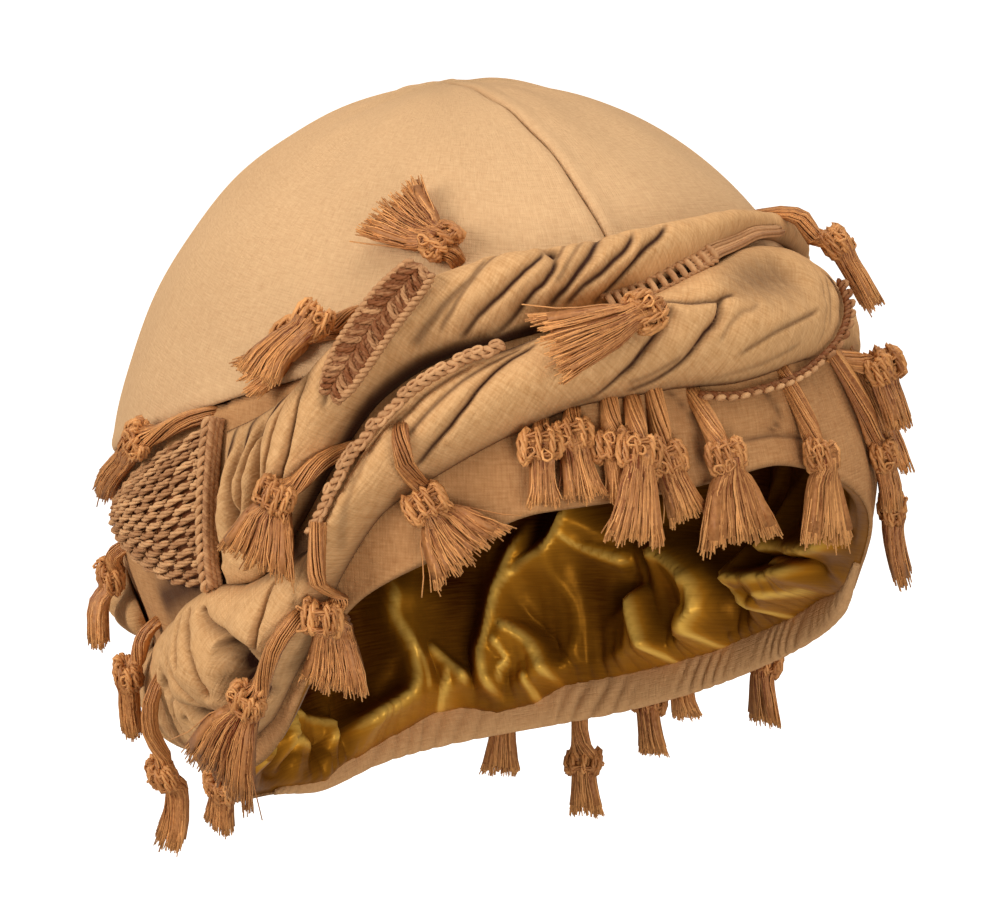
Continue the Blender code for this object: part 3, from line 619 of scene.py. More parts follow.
def woven_cotton(name, light, dark, turn, pitch=0.62, fuzz=0.06):
    """Plain-woven cotton, matt and slightly fuzzy: crossed threads, slubs and soft crumples, with painted
    shade where its shade attribute says.

    The real threads are about 0.35 mm apart. They are drawn at 0.62 mm, so that they show.
    """
    finish, tree, shader = new_finish(name)
    laid = add(tree, "ShaderNodeUVMap", uv_map="UVMap")
    turned = add(tree, "ShaderNodeMapping", {"Vector": laid.outputs["UV"],
                                             "Rotation": (0.0, 0.0, math.radians(turn))})
    # At scale 1 the wave texture has a band every 2 pi / 20 of a metre
    scale = 2.0 * math.pi / 20.0 / (pitch * MM)
    threads = []
    for direction in ("X", "Y"):
        threads.append(add(tree, "ShaderNodeTexWave", {
            "Vector": turned.outputs["Vector"], "Scale": scale, "Distortion": 2.2, "Detail": 2.0,
            "Detail Scale": 0.35, "Detail Roughness": 0.6}, bands_direction=direction).outputs["Fac"])
    weave = add(tree, "ShaderNodeMath", {0: threads[0], 1: threads[1]}, operation="MULTIPLY").outputs[0]
    # Slubs, the thick places of a thread, are about 3.6 mm long and 0.6 mm wide
    slubs = []
    for stretch in ((280.0, 1600.0, 1.0), (1600.0, 280.0, 1.0)):
        drawn = add(tree, "ShaderNodeMapping", {"Vector": turned.outputs["Vector"], "Scale": stretch})
        slubs.append(add(tree, "ShaderNodeTexNoise", {
            "Vector": drawn.outputs["Vector"], "Scale": 1.0, "Detail": 2.0}).outputs["Fac"])
    slub = add(tree, "ShaderNodeMath", {0: slubs[0], 1: slubs[1]}, operation="ADD").outputs[0]
    # Patches of tone are about 36 mm wide and crumples 4 mm
    place = add(tree, "ShaderNodeTexCoord").outputs["Object"]
    patches = add(tree, "ShaderNodeTexNoise", {"Vector": place, "Scale": 28.0, "Detail": 4.0}).outputs["Fac"]
    crumple = add(tree, "ShaderNodeTexNoise", {"Vector": place, "Scale": 260.0, "Detail": 5.0,
                                               "Roughness": 0.65}).outputs["Fac"]
    tone = add(tree, "ShaderNodeMath", {0: slub, 1: 1.1, 2: -0.85}, operation="MULTIPLY_ADD").outputs[0]
    tone = add(tree, "ShaderNodeMath", {0: patches, 1: 0.5, 2: tone}, operation="MULTIPLY_ADD").outputs[0]
    tone = add(tree, "ShaderNodeMath", {0: weave, 1: -0.18, 2: tone}, operation="MULTIPLY_ADD").outputs[0]
    ramp = add(tree, "ShaderNodeMix", {"Factor": tone, "A": linear(light), "B": linear(dark)},
               data_type="RGBA", clamp_factor=True)
    # Painted shade: the shade attribute draws the cloth towards a dark brown
    shade = add(tree, "ShaderNodeAttribute", attribute_name="shade").outputs["Fac"]
    shaded = add(tree, "ShaderNodeMix", {"Factor": shade, "A": ramp.outputs["Result"],
                                         "B": linear(PAINTED_SHADE_BROWN)}, data_type="RGBA", clamp_factor=True)
    height = add(tree, "ShaderNodeMath", {0: weave, 1: 0.3, 2: slub}, operation="MULTIPLY_ADD").outputs[0]
    fine = add(tree, "ShaderNodeBump", {"Height": height, "Strength": 0.7, "Distance": 0.00025})
    soft = add(tree, "ShaderNodeBump", {"Height": crumple, "Strength": 0.5, "Distance": 0.0007,
                                        "Normal": fine.outputs["Normal"]})
    tree.links.new(shaded.outputs["Result"], shader.inputs["Base Color"])
    tree.links.new(soft.outputs["Normal"], shader.inputs["Normal"])
    shader.inputs["Roughness"].default_value = 0.88
    shader.inputs["Specular IOR Level"].default_value = 0.25
    shader.inputs["Sheen Weight"].default_value = fuzz
    shader.inputs["Sheen Roughness"].default_value = 0.5
    shader.inputs["Sheen Tint"].default_value = linear(light)
    return finish


def lining_satin():
    """Polyester satin: floats run one way, so it is smooth and shines like old gold; along its folds a
    painted highlight and painted shade add to the shine.
    """
    finish, tree, shader = new_finish("old_gold_satin")
    laid = add(tree, "ShaderNodeUVMap", uv_map="UVMap")
    place = add(tree, "ShaderNodeTexCoord").outputs["Object"]
    # Floats are about 7 mm long and 0.4 mm wide, patches of tone 29 mm and soft dents 11 mm wide
    drawn = add(tree, "ShaderNodeMapping", {"Vector": laid.outputs["UV"], "Scale": (140.0, 2600.0, 1.0)})
    floats = add(tree, "ShaderNodeTexNoise", {"Vector": drawn.outputs["Vector"], "Scale": 1.0,
                                              "Detail": 2.0}).outputs["Fac"]
    patches = add(tree, "ShaderNodeTexNoise", {"Vector": place, "Scale": 35.0, "Detail": 3.0}).outputs["Fac"]
    crumple = add(tree, "ShaderNodeTexNoise", {"Vector": place, "Scale": 90.0, "Detail": 3.0}).outputs["Fac"]
    # The shade attribute holds the folds' painted highlight and painted shade
    shade = add(tree, "ShaderNodeAttribute", attribute_name="shade").outputs["Fac"]
    varied = add(tree, "ShaderNodeMath", {0: floats, 1: 0.2, 2: -0.25}, operation="MULTIPLY_ADD").outputs[0]
    varied = add(tree, "ShaderNodeMath", {0: patches, 1: 0.3, 2: varied}, operation="MULTIPLY_ADD").outputs[0]
    tone = add(tree, "ShaderNodeMath", {0: shade, 1: varied}, operation="ADD").outputs[0]
    # Painted light and shade: the lower half of the tones runs from the hollows' painted shade to cloth, the
    # upper half from cloth to the crests' painted highlight
    low = add(tree, "ShaderNodeMath", {0: tone, 1: 2.0}, operation="MULTIPLY").outputs[0]
    high = add(tree, "ShaderNodeMath", {0: tone, 1: 2.0, 2: -1.0}, operation="MULTIPLY_ADD").outputs[0]
    body = add(tree, "ShaderNodeMix", {"Factor": low, "A": linear(SATIN_PAINTED_SHADE), "B": linear(SATIN_CLOTH)},
               data_type="RGBA", clamp_factor=True)
    ramp = add(tree, "ShaderNodeMix", {"Factor": high, "A": body.outputs["Result"], "B": linear(SATIN_PAINTED_HIGHLIGHT)},
               data_type="RGBA", clamp_factor=True)
    fine = add(tree, "ShaderNodeBump", {"Height": floats, "Strength": 0.12, "Distance": 0.0001})
    soft = add(tree, "ShaderNodeBump", {"Height": crumple, "Strength": 0.35, "Distance": 0.0016,
                                        "Normal": fine.outputs["Normal"]})
    tree.links.new(ramp.outputs["Result"], shader.inputs["Base Color"])
    tree.links.new(soft.outputs["Normal"], shader.inputs["Normal"])
    shader.inputs["Metallic"].default_value = 0.15
    shader.inputs["Roughness"].default_value = 0.36
    shader.inputs["Specular IOR Level"].default_value = 0.3
    shader.inputs["Specular Tint"].default_value = linear(SATIN_SHEEN)
    return finish


def spun_yarn(name, dark, light, gloss):
    """Soft spun yarn: each thread has a tone of its own, in the attribute tone, and fine flecks."""
    finish, tree, shader = new_finish(name)
    tone = add(tree, "ShaderNodeAttribute", attribute_name="tone").outputs["Fac"]
    place = add(tree, "ShaderNodeTexCoord").outputs["Object"]
    flecks = add(tree, "ShaderNodeTexNoise", {"Vector": place, "Scale": 900.0, "Detail": 3.0}).outputs["Fac"]
    mixed = add(tree, "ShaderNodeMath", {0: flecks, 1: 0.5, 2: tone}, operation="MULTIPLY_ADD").outputs[0]
    mixed = add(tree, "ShaderNodeMath", {0: mixed, 1: 0.25}, operation="SUBTRACT").outputs[0]
    ramp = add(tree, "ShaderNodeMix", {"Factor": mixed, "A": linear(dark), "B": linear(light)},
               data_type="RGBA", clamp_factor=True)
    bump = add(tree, "ShaderNodeBump", {"Height": flecks, "Strength": 0.6, "Distance": 0.0004})
    tree.links.new(ramp.outputs["Result"], shader.inputs["Base Color"])
    tree.links.new(bump.outputs["Normal"], shader.inputs["Normal"])
    shader.inputs["Roughness"].default_value = gloss
    shader.inputs["Specular IOR Level"].default_value = 0.3
    return finish


def mesh_piece(name, mesh, finish):
    """Show a finished mesh as a piece."""
    mesh.shade_smooth()
    mesh.materials.append(finish)
    piece = bpy.data.objects.new(name, mesh)
    bpy.context.scene.collection.objects.link(piece)
    return piece


def grid_mesh(name, columns, rows, place, closed=True, flip=False):
    """A grid moved by place(u, v), which also gives the flat cloth's place for the weave, and any painted
    shade.

    Its meeting edges are welded. A closed form has its ends shut, and an open one may be turned over.
    """
    bm = bmesh.new()
    bmesh.ops.create_grid(bm, x_segments=columns, y_segments=rows, size=1.0, calc_uvs=True)
    mesh = bpy.data.meshes.new(name)
    bm.to_mesh(mesh)
    bm.free()
    flat = np.empty(len(mesh.vertices) * 3, np.float32)
    mesh.vertices.foreach_get("co", flat)
    u, v = ((flat.reshape(-1, 3)[:, :2].astype(float) + 1.0) / 2.0).T
    u, v = np.round(u * columns) / columns, np.round(v * rows) / rows
    points, cloth, *shading = place(u, v)
    mesh.vertices.foreach_set("co", points.astype(np.float32).ravel())
    corners = np.empty(len(mesh.loops), np.int32)
    mesh.loops.foreach_get("vertex_index", corners)
    layer = mesh.uv_layers[0] if mesh.uv_layers else mesh.uv_layers.new(name="UVMap")
    layer.name = "UVMap"
    layer.uv.foreach_set("vector", (cloth[corners] * MM).astype(np.float32).ravel())
    if shading:
        shade = mesh.attributes.new("shade", "FLOAT", "POINT")
        shade.data.foreach_set("value", shading[0].astype(np.float32))
    bm = bmesh.new()
    bm.from_mesh(mesh)
    bmesh.ops.remove_doubles(bm, verts=bm.verts, dist=WELD_CLOTH)
    if closed:
        bmesh.ops.holes_fill(bm, edges=[edge for edge in bm.edges if edge.is_boundary], sides=0)
        bmesh.ops.recalc_face_normals(bm, faces=bm.faces)
    if flip:
        bmesh.ops.reverse_faces(bm, faces=bm.faces)
    bm.to_mesh(mesh)
    bm.free()
    return mesh


def thicken(piece, thickness):
    """Give an open cloth its wall, towards its back."""
    wall = piece.modifiers.new("wall", "SOLIDIFY")
    wall.thickness = thickness * MM
    wall.offset = -1.0


def yarn_mesh(name, lines, radii, tones, facing, sides=3):
    """Many yarns in one mesh: each a thin tube along its line, with a tone of its own.

    One long grid is rolled up along all the lines, and its faces between two lines are taken out.
    """
    points = np.concatenate(lines)
    total = len(points)
    ahead = np.concatenate([np.gradient(line, axis=0) for line in lines])
    ahead /= np.linalg.norm(ahead, axis=1, keepdims=True) + 1e-12
    facing = np.asarray(facing, float)
    facing = np.broadcast_to(facing, points.shape) if facing.ndim == 1 else facing
    side = np.cross(ahead, facing)
    side /= np.linalg.norm(side, axis=1, keepdims=True) + 1e-12
    up = np.cross(side, ahead)
    radius = np.concatenate(radii)
    tone = np.concatenate(tones)
    bm = bmesh.new()
    bmesh.ops.create_grid(bm, x_segments=total - 1, y_segments=sides, size=1.0)
    mesh = bpy.data.meshes.new(name)
    bm.to_mesh(mesh)
    flat = np.empty(len(mesh.vertices) * 3, np.float32)
    mesh.vertices.foreach_get("co", flat)
    flat = (flat.reshape(-1, 3).astype(float) + 1.0) / 2.0
    column = np.round(flat[:, 0] * (total - 1)).astype(int)
    corner = np.round(flat[:, 1] * sides).astype(int) % sides
    angle = 2.0 * math.pi * corner / sides
    places = points[column] + radius[column, None] * (
        np.cos(angle)[:, None] * side[column] + np.sin(angle)[:, None] * up[column])
    mesh.vertices.foreach_set("co", places.astype(np.float32).ravel())
    tinted = mesh.attributes.new("tone", "FLOAT", "POINT")
    tinted.data.foreach_set("value", tone[column].astype(np.float32))
    bm.clear()
    bm.from_mesh(mesh)
    group = np.repeat(np.arange(len(lines)), [len(line) for line in lines])
    bridges = [face for face in bm.faces if len({group[column[vert.index]] for vert in face.verts}) > 1]
    bmesh.ops.delete(bm, geom=bridges, context="FACES")
    bmesh.ops.remove_doubles(bm, verts=bm.verts, dist=WELD_YARN)
    bmesh.ops.holes_fill(bm, edges=[edge for edge in bm.edges if edge.is_boundary], sides=0)
    bmesh.ops.recalc_face_normals(bm, faces=bm.faces)
    bm.to_mesh(mesh)
    bm.free()
    return mesh


def smooth_route(places, steps):
    """A list of places, read closely along a smooth line through them."""
    route = np.array(places, float)
    knots = np.arange(len(route), dtype=float)
    fine = np.linspace(0.0, knots[-1], (len(route) - 1) * steps + 1)
    return np.stack([hermite(knots, route[:, column], fine) for column in range(route.shape[1])], 1)


def along_crease(phi, z, places):
    """How far places lie from a smooth line, on which side, how far along it, and which way is off it."""
    line = smooth_route(places, CREASE_STEPS)
    line[:, 0] *= PER_DEGREE
    best = np.full(phi.shape, 1e9)
    side = np.zeros(phi.shape)
    share = np.zeros(phi.shape)
    away = np.zeros(phi.shape + (2,))
    lengths = np.hypot(*np.diff(line, axis=0).T)
    done = np.concatenate([[0.0], np.cumsum(lengths)])
    for index in range(len(line) - 1):
        start, (dx, dz) = line[index], line[index + 1] - line[index]
        px, pz = phi * PER_DEGREE - start[0], z - start[1]
        t = np.clip((px * dx + pz * dz) / (dx * dx + dz * dz), 0.0, 1.0)
        off = np.stack([px - t * dx, pz - t * dz], -1)
        far = np.hypot(off[..., 0], off[..., 1])
        near = far < best
        best = np.where(near, far, best)
        side = np.where(near, np.sign(dx * pz - dz * px), side)
        share = np.where(near, (done[index] + t * lengths[index]) / done[-1], share)
        away = np.where(near[..., None], off / (far[..., None] + 1e-9), away)
    return best, side, share, away


def creased(phi, z, creases):
    """What creases do at some places: their depth, the slide of their upper lips, and their painted shade.

    Depth and the slide up are in millimetres, and the slide round the cap is in degrees.
    """
    depth = np.zeros(phi.shape)
    dark = np.zeros(phi.shape)
    slide_x = np.zeros(phi.shape)
    slide_z = np.zeros(phi.shape)
    for width, deep, places in creases:
        reach = CREASE_REACH * width / PER_DEGREE
        angles = [angle for angle, _ in places]
        near = (phi > min(angles) - reach) & (phi < max(angles) + reach)
        if not near.any():
            continue
        far, side, share, away = along_crease(phi[near], z[near], places)
        ends = ease(share / CREASE_TAPER) * ease((1.0 - share) / CREASE_TAPER)
        slot = np.exp(-(far / (SLOT_WIDTH * width)) ** 2)
        shoulders = np.exp(-far / (SHOULDER_WIDTH * width))
        cut = deep * ends * (SLOT_DEPTH * slot + SHOULDER_DEPTH * shoulders)
        # Painted shade: a thin dark line at the bottom, narrower in fine creases, and a little painted shadow
        # beside it
        fine = max(width * np.interp(width, [3.0, 12.0], [0.21, 0.34]), LINE_LEAST)
        line = np.minimum(1.15 * np.exp(-(far / fine) ** 2), 1.0)
        shadow = ends ** 0.8 * min(0.1 + deep / DARK_FULL, 1.0) * (0.8 * line + 0.14 * np.exp(-far / width))
        dark[near] = np.maximum(dark[near], shadow)
        depth[near] = np.maximum(depth[near], cut) + MEETING * np.minimum(depth[near], cut)
        lip = LIP_SLIDE * ends * min(deep / LIP_FULL, 1.0) * far * np.exp(1.0 - far / width)
        lip = np.where(side < 0.0, lip, 0.0)
        slide_x[near] -= lip * away[..., 0]
        slide_z[near] -= lip * away[..., 1]
    return depth, slide_x / PER_DEGREE, slide_z, dark


def generated_creases(curves, first, last, step, lean, seed, skip=()):
    """Creases where the table has none: aslant across the strand, each a little different.

    step is the angle from one to the next and lean how far one turns round the cap on its way, in degrees.
    """
    draw = np.random.default_rng(seed)
    creases = []
    phi = first
    while phi < last:
        width, deep, shift = draw.uniform(2.0, 3.2), draw.uniform(0.6, 2.4), draw.uniform(-1.5, 1.5)
        start, end = draw.uniform(0.02, 0.3), draw.uniform(0.7, 0.98)
        slope = lean * draw.uniform(0.7, 1.3)
        if not any(low <= phi <= high for low, high in skip):
            places = []
            for share in (start, (start + end) / 2.0, end):
                angle = phi + shift + slope * (share - 0.5)
                top, bottom = float(curves[0](np.array(angle))), float(curves[1](np.array(angle)))
                places.append((angle + draw.uniform(-0.5, 0.5), bottom + (top - bottom) * share))
            creases.append((width, deep, places))
        phi += step * draw.uniform(0.6, 1.4)
    return creases


def ripples(x, y, seed, sizes, count=6):
    """Smooth, uneven waves of about the given sizes in millimetres, from -1 to 1 or so."""
    draw = np.random.default_rng(seed)
    total = np.zeros(np.shape(x))
    for size in sizes:
        for _ in range(count):
            turn, phase = draw.uniform(0.0, 2.0 * math.pi, 2)
            wave = 2.0 * math.pi / (size * draw.uniform(0.7, 1.4))
            total = total + np.sin(wave * (x * math.cos(turn) + y * math.sin(turn)) + phase)
    # Peaks of the sum are about 1.6 times its spread
    return total / math.sqrt(len(sizes) * count * 0.5) / 1.6


def dented(phi, z, dents):
    """How deep the round hollows are at some places."""
    depth = np.zeros(phi.shape)
    for dent_phi, dent_z, radius, deep in dents:
        far = np.hypot((phi - dent_phi) * PER_DEGREE, z - dent_z)
        depth = np.maximum(depth, deep * np.exp(-(far / radius) ** 2))
    return depth


def scarf_strand(name, curves, first, last, creases, dents, is_upper, gap_reach, columns, finish, node):
    """One twisted strand of the scarf: a roll of cotton with its pleats, lying on the cap.

    gap_reach is how far the painted shade of the gap between the strands reaches over its edge, in
    millimetres.
    """
    over, under = 60, 6  # points across the outside and across the underside
    plumper, uneven = 1.0, 0.05  # millimetres added to the solid's thickness, and its swells as a share of it
    roughness = 0.22  # the height of its fine waves, in millimetres
    cut_most, dent_share = 0.85, 0.7  # the most that creases cut of the height, and how much of a dent shows
    bulge_out = 3.2  # how far the section's halves swell up and down, in millimetres
    weave_up = 1.25  # cloth to a millimetre of height, as the strand's face is curved

    def place(u, v):
        phi = np.interp(u, [0.0, DENSE_SHARE, 1.0], [first, DENSE_TO, last])
        index = np.round(v * (over + under)).astype(int) % (over + under)
        outside = index <= over
        share = np.where(outside, index / over, 1.0 - (index - over) / under)
        top, bottom, thick = (curve(phi) for curve in curves)
        if not is_upper:
            top = top + np.interp(phi, *zip(*LOBE_PUFF))
        z = bottom + (top - bottom) * share
        swell = 1.0 + uneven * ripples(phi * PER_DEGREE, z, 11, (24.0,))
        height = roll(share, (thick + plumper) * swell) * ease((phi - first) / END_ROUND) ** 0.5
        arch = np.sin(math.pi * share) ** 0.5
        cut, slide_phi, slide_z, dark = creased(phi, z, creases)
        hollow = dented(phi, z, dents)
        cut = cut * np.interp(phi, *zip(*CREASE_RELIEF)) + dent_share * hollow
        fine = roughness * ripples(phi * PER_DEGREE, z, 12, (5.0, 9.0))
        height = height - arch * np.minimum(cut, cut_most * height) + arch * fine
        out = np.where(outside, np.maximum(height, 0.05 * arch), 0.0)
        full = np.minimum(thick / FULL_THICK, 1.0)
        bulge = np.where(outside, (share - 0.5) * bulge_out * np.sin(math.pi * share), 0.0) * full
        moved_phi = phi + np.where(outside, slide_phi * arch, 0.0)
        moved_z = z + np.where(outside, slide_z * arch, 0.0) + bulge
        # Painted shade: dark in the creases and the deep hollows, along both edges and in the gap between the
        # strands
        below, above = share * (top - bottom), (1.0 - share) * (top - bottom)
        pit = np.minimum(np.maximum(0.085 * hollow, (hollow / PIT_DARK) ** 4), 0.97)
        shade = np.maximum(dark * arch ** 0.5, pit) + 0.035 * cut
        shade = np.maximum(shade, 0.6 * np.exp(-np.minimum(below, above) / 0.8))
        to_gap = below if is_upper else above
        shade = np.maximum(shade, np.interp(phi, *zip(*GAP_SHADE)) * np.exp(-(to_gap / gap_reach) ** 4))
        cloth = np.stack([phi * PER_DEGREE, z * weave_up], 1)
        return on_cap(moved_phi, moved_z, SEAT + out), cloth, shade

    mesh = grid_mesh(name, columns, over + under, place)
    piece = mesh_piece(name, mesh, finish)
    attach(piece, "root")
    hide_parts(node)
    return piece


def sewn(far, ridge):
    """How far cloth stands out at some distance from a seam: a fine groove, then a ridge of some height."""
    groove = -SEAM_DEPTH * np.exp(-(far / SEAM_HALF) ** 2)
    return groove + ridge * np.exp(-((far - RIDGE_BESIDE) / RIDGE_HALF) ** 2)


def crown_panel(name, side, finish, node):
    """One half of the dome: eased cotton with the middle seam and the band seam turned in.

    side is 1 for the wearer's left and -1 for the right.
    """
    columns, rows = 160, 90
    pucker_height, pucker_run, pucker_reach = 0.30, 3.1, 4.0  # beside the middle seam, in millimetres
    swell_height = 0.5
    apart = 0.04  # how far each panel stands off the middle, in millimetres

    def place(u, v):
        # Columns are closer together at the brow and the nape, and rows near the band
        around = 0.5 - 0.5 * np.cos(math.pi * u)
        around = 0.6 * u + 0.4 * around
        phi = side * 180.0 * around
        low = np.arcsin(join_height(phi) / CROWN_RISE)
        angle = low + (math.pi / 2.0 - low) * v ** 1.15
        z = CROWN_RISE * np.sin(angle)
        body = on_cap(phi, z)
        from_middle = np.abs(body[:, 0]) / MM
        from_join = (angle - low) * CROWN_RISE
        y = body[:, 1] / MM
        pucker = pucker_height * np.sin(y / pucker_run + 0.8 * np.sin(y / 17.0))
        pucker = pucker * np.exp(-from_middle / pucker_reach)
        swell = ripples(phi * 1.4, angle * CROWN_RADIAN, 21 + int(side), (46.0, 80.0))
        soft = swell_height * swell * ease(from_middle / 12.0)
        points = on_cap(phi, z, sewn(from_middle, 0.35) + sewn(from_join, 0.3) + pucker + soft)
        points[:, 0] += side * apart * MM
        return points, np.stack([phi * CROWN_DEGREE, angle * CROWN_RADIAN], 1)

    mesh = grid_mesh(name, columns, rows, place, closed=False, flip=side < 0.0)
    piece = mesh_piece(name, mesh, finish)
    thicken(piece, CAP_CLOTH)
    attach(piece, "root")
    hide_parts(node)
    return piece


def side_band(finish):
    """The strip between the dome and the opening: outside, a folded lower edge and a narrow facing."""
    columns, outside, inside = 360, 46, 10  # sections, points down the outside and points up the facing
    total = outside + inside
    overlap = 3.0  # how far the band's lower edge lies under the casing's top, in millimetres
    fold_up, fold_half, fold_ridge = 1.2, 1.4, 0.35  # the ridge over the folded edge, in millimetres
    round_edge = 0.45  # how far up the edge is rounded, in millimetres

    def place(u, v):
        phi = 360.0 * u - 180.0
        index = np.round(v * total).astype(int) % total
        low = rim_height(phi) + np.maximum(hem_height(phi) - overlap, 0.0)
        high = join_height(phi)
        down = np.clip(index / outside, 0.0, 1.0)
        back = np.clip((index - outside) / inside, 0.0, 1.0)
        front = index <= outside
        share = np.where(front, down, 1.0 - back)
        z = high - (high - low) * share ** 0.9
        edge = z - low
        x = phi * PER_DEGREE
        wave = 0.5 * ripples(x, z, 31, (30.0, 55.0)) + 0.18 * ripples(x, z * 0.4, 32, (7.0,))
        fold = fold_ridge * np.exp(-((edge - fold_up) / fold_half) ** 2)
        out = sewn(high - z, 0.3) + wave * ease(edge / 6.0) + fold
        out = np.where(front, out, out - CAP_CLOTH)
        # Painted shade in the band's folds, and a wide painted shadow under the scarf's end
        cut, _, _, dark = creased(phi, z, BAND_CREASES)
        out = out - BAND_REACH * np.tanh(0.5 * cut / BAND_REACH) * ease(edge / 3.0)
        round_off = 0.5 * CAP_CLOTH * np.exp(-(edge / round_edge) ** 2)
        out = np.where(front, out - round_off, out + round_off)
        return on_cap(phi, z, out), np.stack([x, z], 1), 0.96 * dark

    mesh = grid_mesh("cap_band", columns, total, place)
    piece = mesh_piece("cap_band", mesh, finish)
    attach(piece, "root")
    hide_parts("cap_side_band")
    return piece


def satin_shell(finish):
    """The loose satin inside the cap: deep folds drawn together by the hem."""
    columns, rows = 392, 122
    swag_run, swag_height = 24.0, 3.0  # of the made-up swags, in millimetres
    pucker_run, pucker_height = 4.5, 1.3  # of the puckers at the rim, in millimetres
    overlap = 2.5  # how far the satin's edge lies under the casing's top, in millimetres
    spill_height = 2.2  # how far it stands out where it spills over the casing, in millimetres
    fold_taper = 0.15  # the share of a fold's length over which it fades at each end
    highlight_half = 0.95  # half the width of a crest's painted highlight, in millimetres
    base = CAP_CLOTH + LINING_EASE
    draw = np.random.default_rng(7)
    folds = list(SATIN_FOLDS)
    for start in np.arange(0.0, 360.0, 15.0):
        phi = start + draw.uniform(-4.0, 4.0)
        low = float(rim_height(np.array(phi)))
        if SATIN_SEEN[0] < phi < SATIN_SEEN[1]:
            continue
        run = draw.uniform(-14.0, 14.0)
        folds.append((draw.uniform(3.4, 6.0), draw.uniform(4.0, 9.0), draw.choice([-1, 1]),
                      [(phi, low + 2.0), (phi + run * 0.4, low + 22.0),
                       (phi + run, low + draw.uniform(45.0, 75.0))]))

    def ridges(phi, z):
        """How high the folds stand, in millimetres, and their painted light and shade: near 1 on the crests'
        painted highlight, lighter down the gentle side, darkest in the hollows.
        """
        height = np.zeros(phi.shape)
        crest = np.zeros(phi.shape)
        body = np.zeros(phi.shape)
        for width, tall, lit, places in folds:
            middle = sum(spot[0] for spot in places) / len(places)
            angle = (phi - middle + 180.0) % 360.0 - 180.0 + middle
            near = np.abs(angle - middle) < 40.0
            far, side, share, _ = along_crease(angle[near], z[near], places)
            ends = ease(share / fold_taper) * ease((1.0 - share) / fold_taper)
            slope = np.where(side * lit > 0.0, width, SATIN_STEEP) if lit else 0.6 * width
            lift = tall * ends * np.exp((CREST_ROUND - np.hypot(far, CREST_ROUND)) / slope)
            height[near] = np.maximum(height[near], lift) + 0.2 * np.minimum(height[near], lift)
            crest[near] = np.maximum(crest[near], ends * np.exp(-(far / highlight_half) ** 2))
            body[near] = np.maximum(body[near], ends * np.exp(-far / slope))
        return height, 0.03 + 0.42 * body ** 1.7 + 0.5 * crest

    def place(u, v):
        # Most columns stand where the folds show, and the made-up waves fade where the sheet is joined
        phi = np.interp(u, [0.0, 0.09, 0.76, 1.0], [0.0, 50.0, 216.0, 360.0])
        x = phi * CAP_DEGREE
        joined = ease(np.minimum(phi, 360.0 - phi) / 16.0)
        tall = hem_height(phi)
        spill = np.interp(phi, *zip(*SATIN_SPILL))
        low = rim_height(phi) + np.where(tall > 0.0, np.maximum(tall - overlap - spill, 0.0), 0.0) + 1.2
        start = np.arcsin(low / np.where(low >= 0.0, CROWN_RISE, LOWER_CURVE))
        angle = start + (math.pi / 2.0 - start) * (0.45 * v + 0.55 * v ** 2.2)
        z = np.sin(angle) * np.where(angle >= 0.0, CROWN_RISE, LOWER_CURVE)
        # The folds' painted highlight and painted shade go into the shade attribute
        height, shade = ridges(phi, z)
        # Swags hang in the lower part only, and puckers stand close to the rim
        lower = ease((30.0 - z) / 60.0)
        by_rim = np.exp(-(z - low) / 9.0)
        warp = 9.0 * ripples(x, z, 42, (60.0,)) * joined
        swags = np.abs(np.sin((x + warp + 0.25 * z) * math.pi / swag_run)) ** 0.7
        soft = swag_height * (1.0 - swags) * lower + 1.2 * (1.0 + ripples(x, z, 41, (22.0, 40.0)))
        puckers = pucker_height * np.sin(x * math.pi / pucker_run + 1.5 * np.sin(phi / 6.0)) ** 2 * by_rim
        # All folds fade out at the rim and towards the crown
        fade = ease((z - low + 1.0) / 6.0) * ease((1.0 - v) / 0.35)
        height = fade * (height + np.maximum(soft, 0.0) * joined) + puckers * ease(tall / HEM_HEIGHT)
        height = height + spill_height * np.minimum(spill / 3.0, 1.0) * np.exp(-(z - low) / 8.0)
        rim = np.exp(-(v * rows / 0.6) ** 2)
        depth = (base + height) * (1.0 - rim) + 0.3 * rim
        # Painted light: lighter on the swags' ridges and near the rim, where light comes in
        lighter = 0.12 * (1.0 - swags) * lower * joined + 0.2 * by_rim
        return (on_cap(phi, z - 0.10 * height * fade, -depth), np.stack([x, angle * SATIN_RADIAN], 1),
                shade + lighter)

    mesh = grid_mesh("satin_folds", columns, rows, place, closed=False)
    piece = mesh_piece("satin_folds", mesh, finish)
    thicken(piece, LINING_CLOTH)
    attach(piece, "root")
    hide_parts("satin_lining")
    return piece


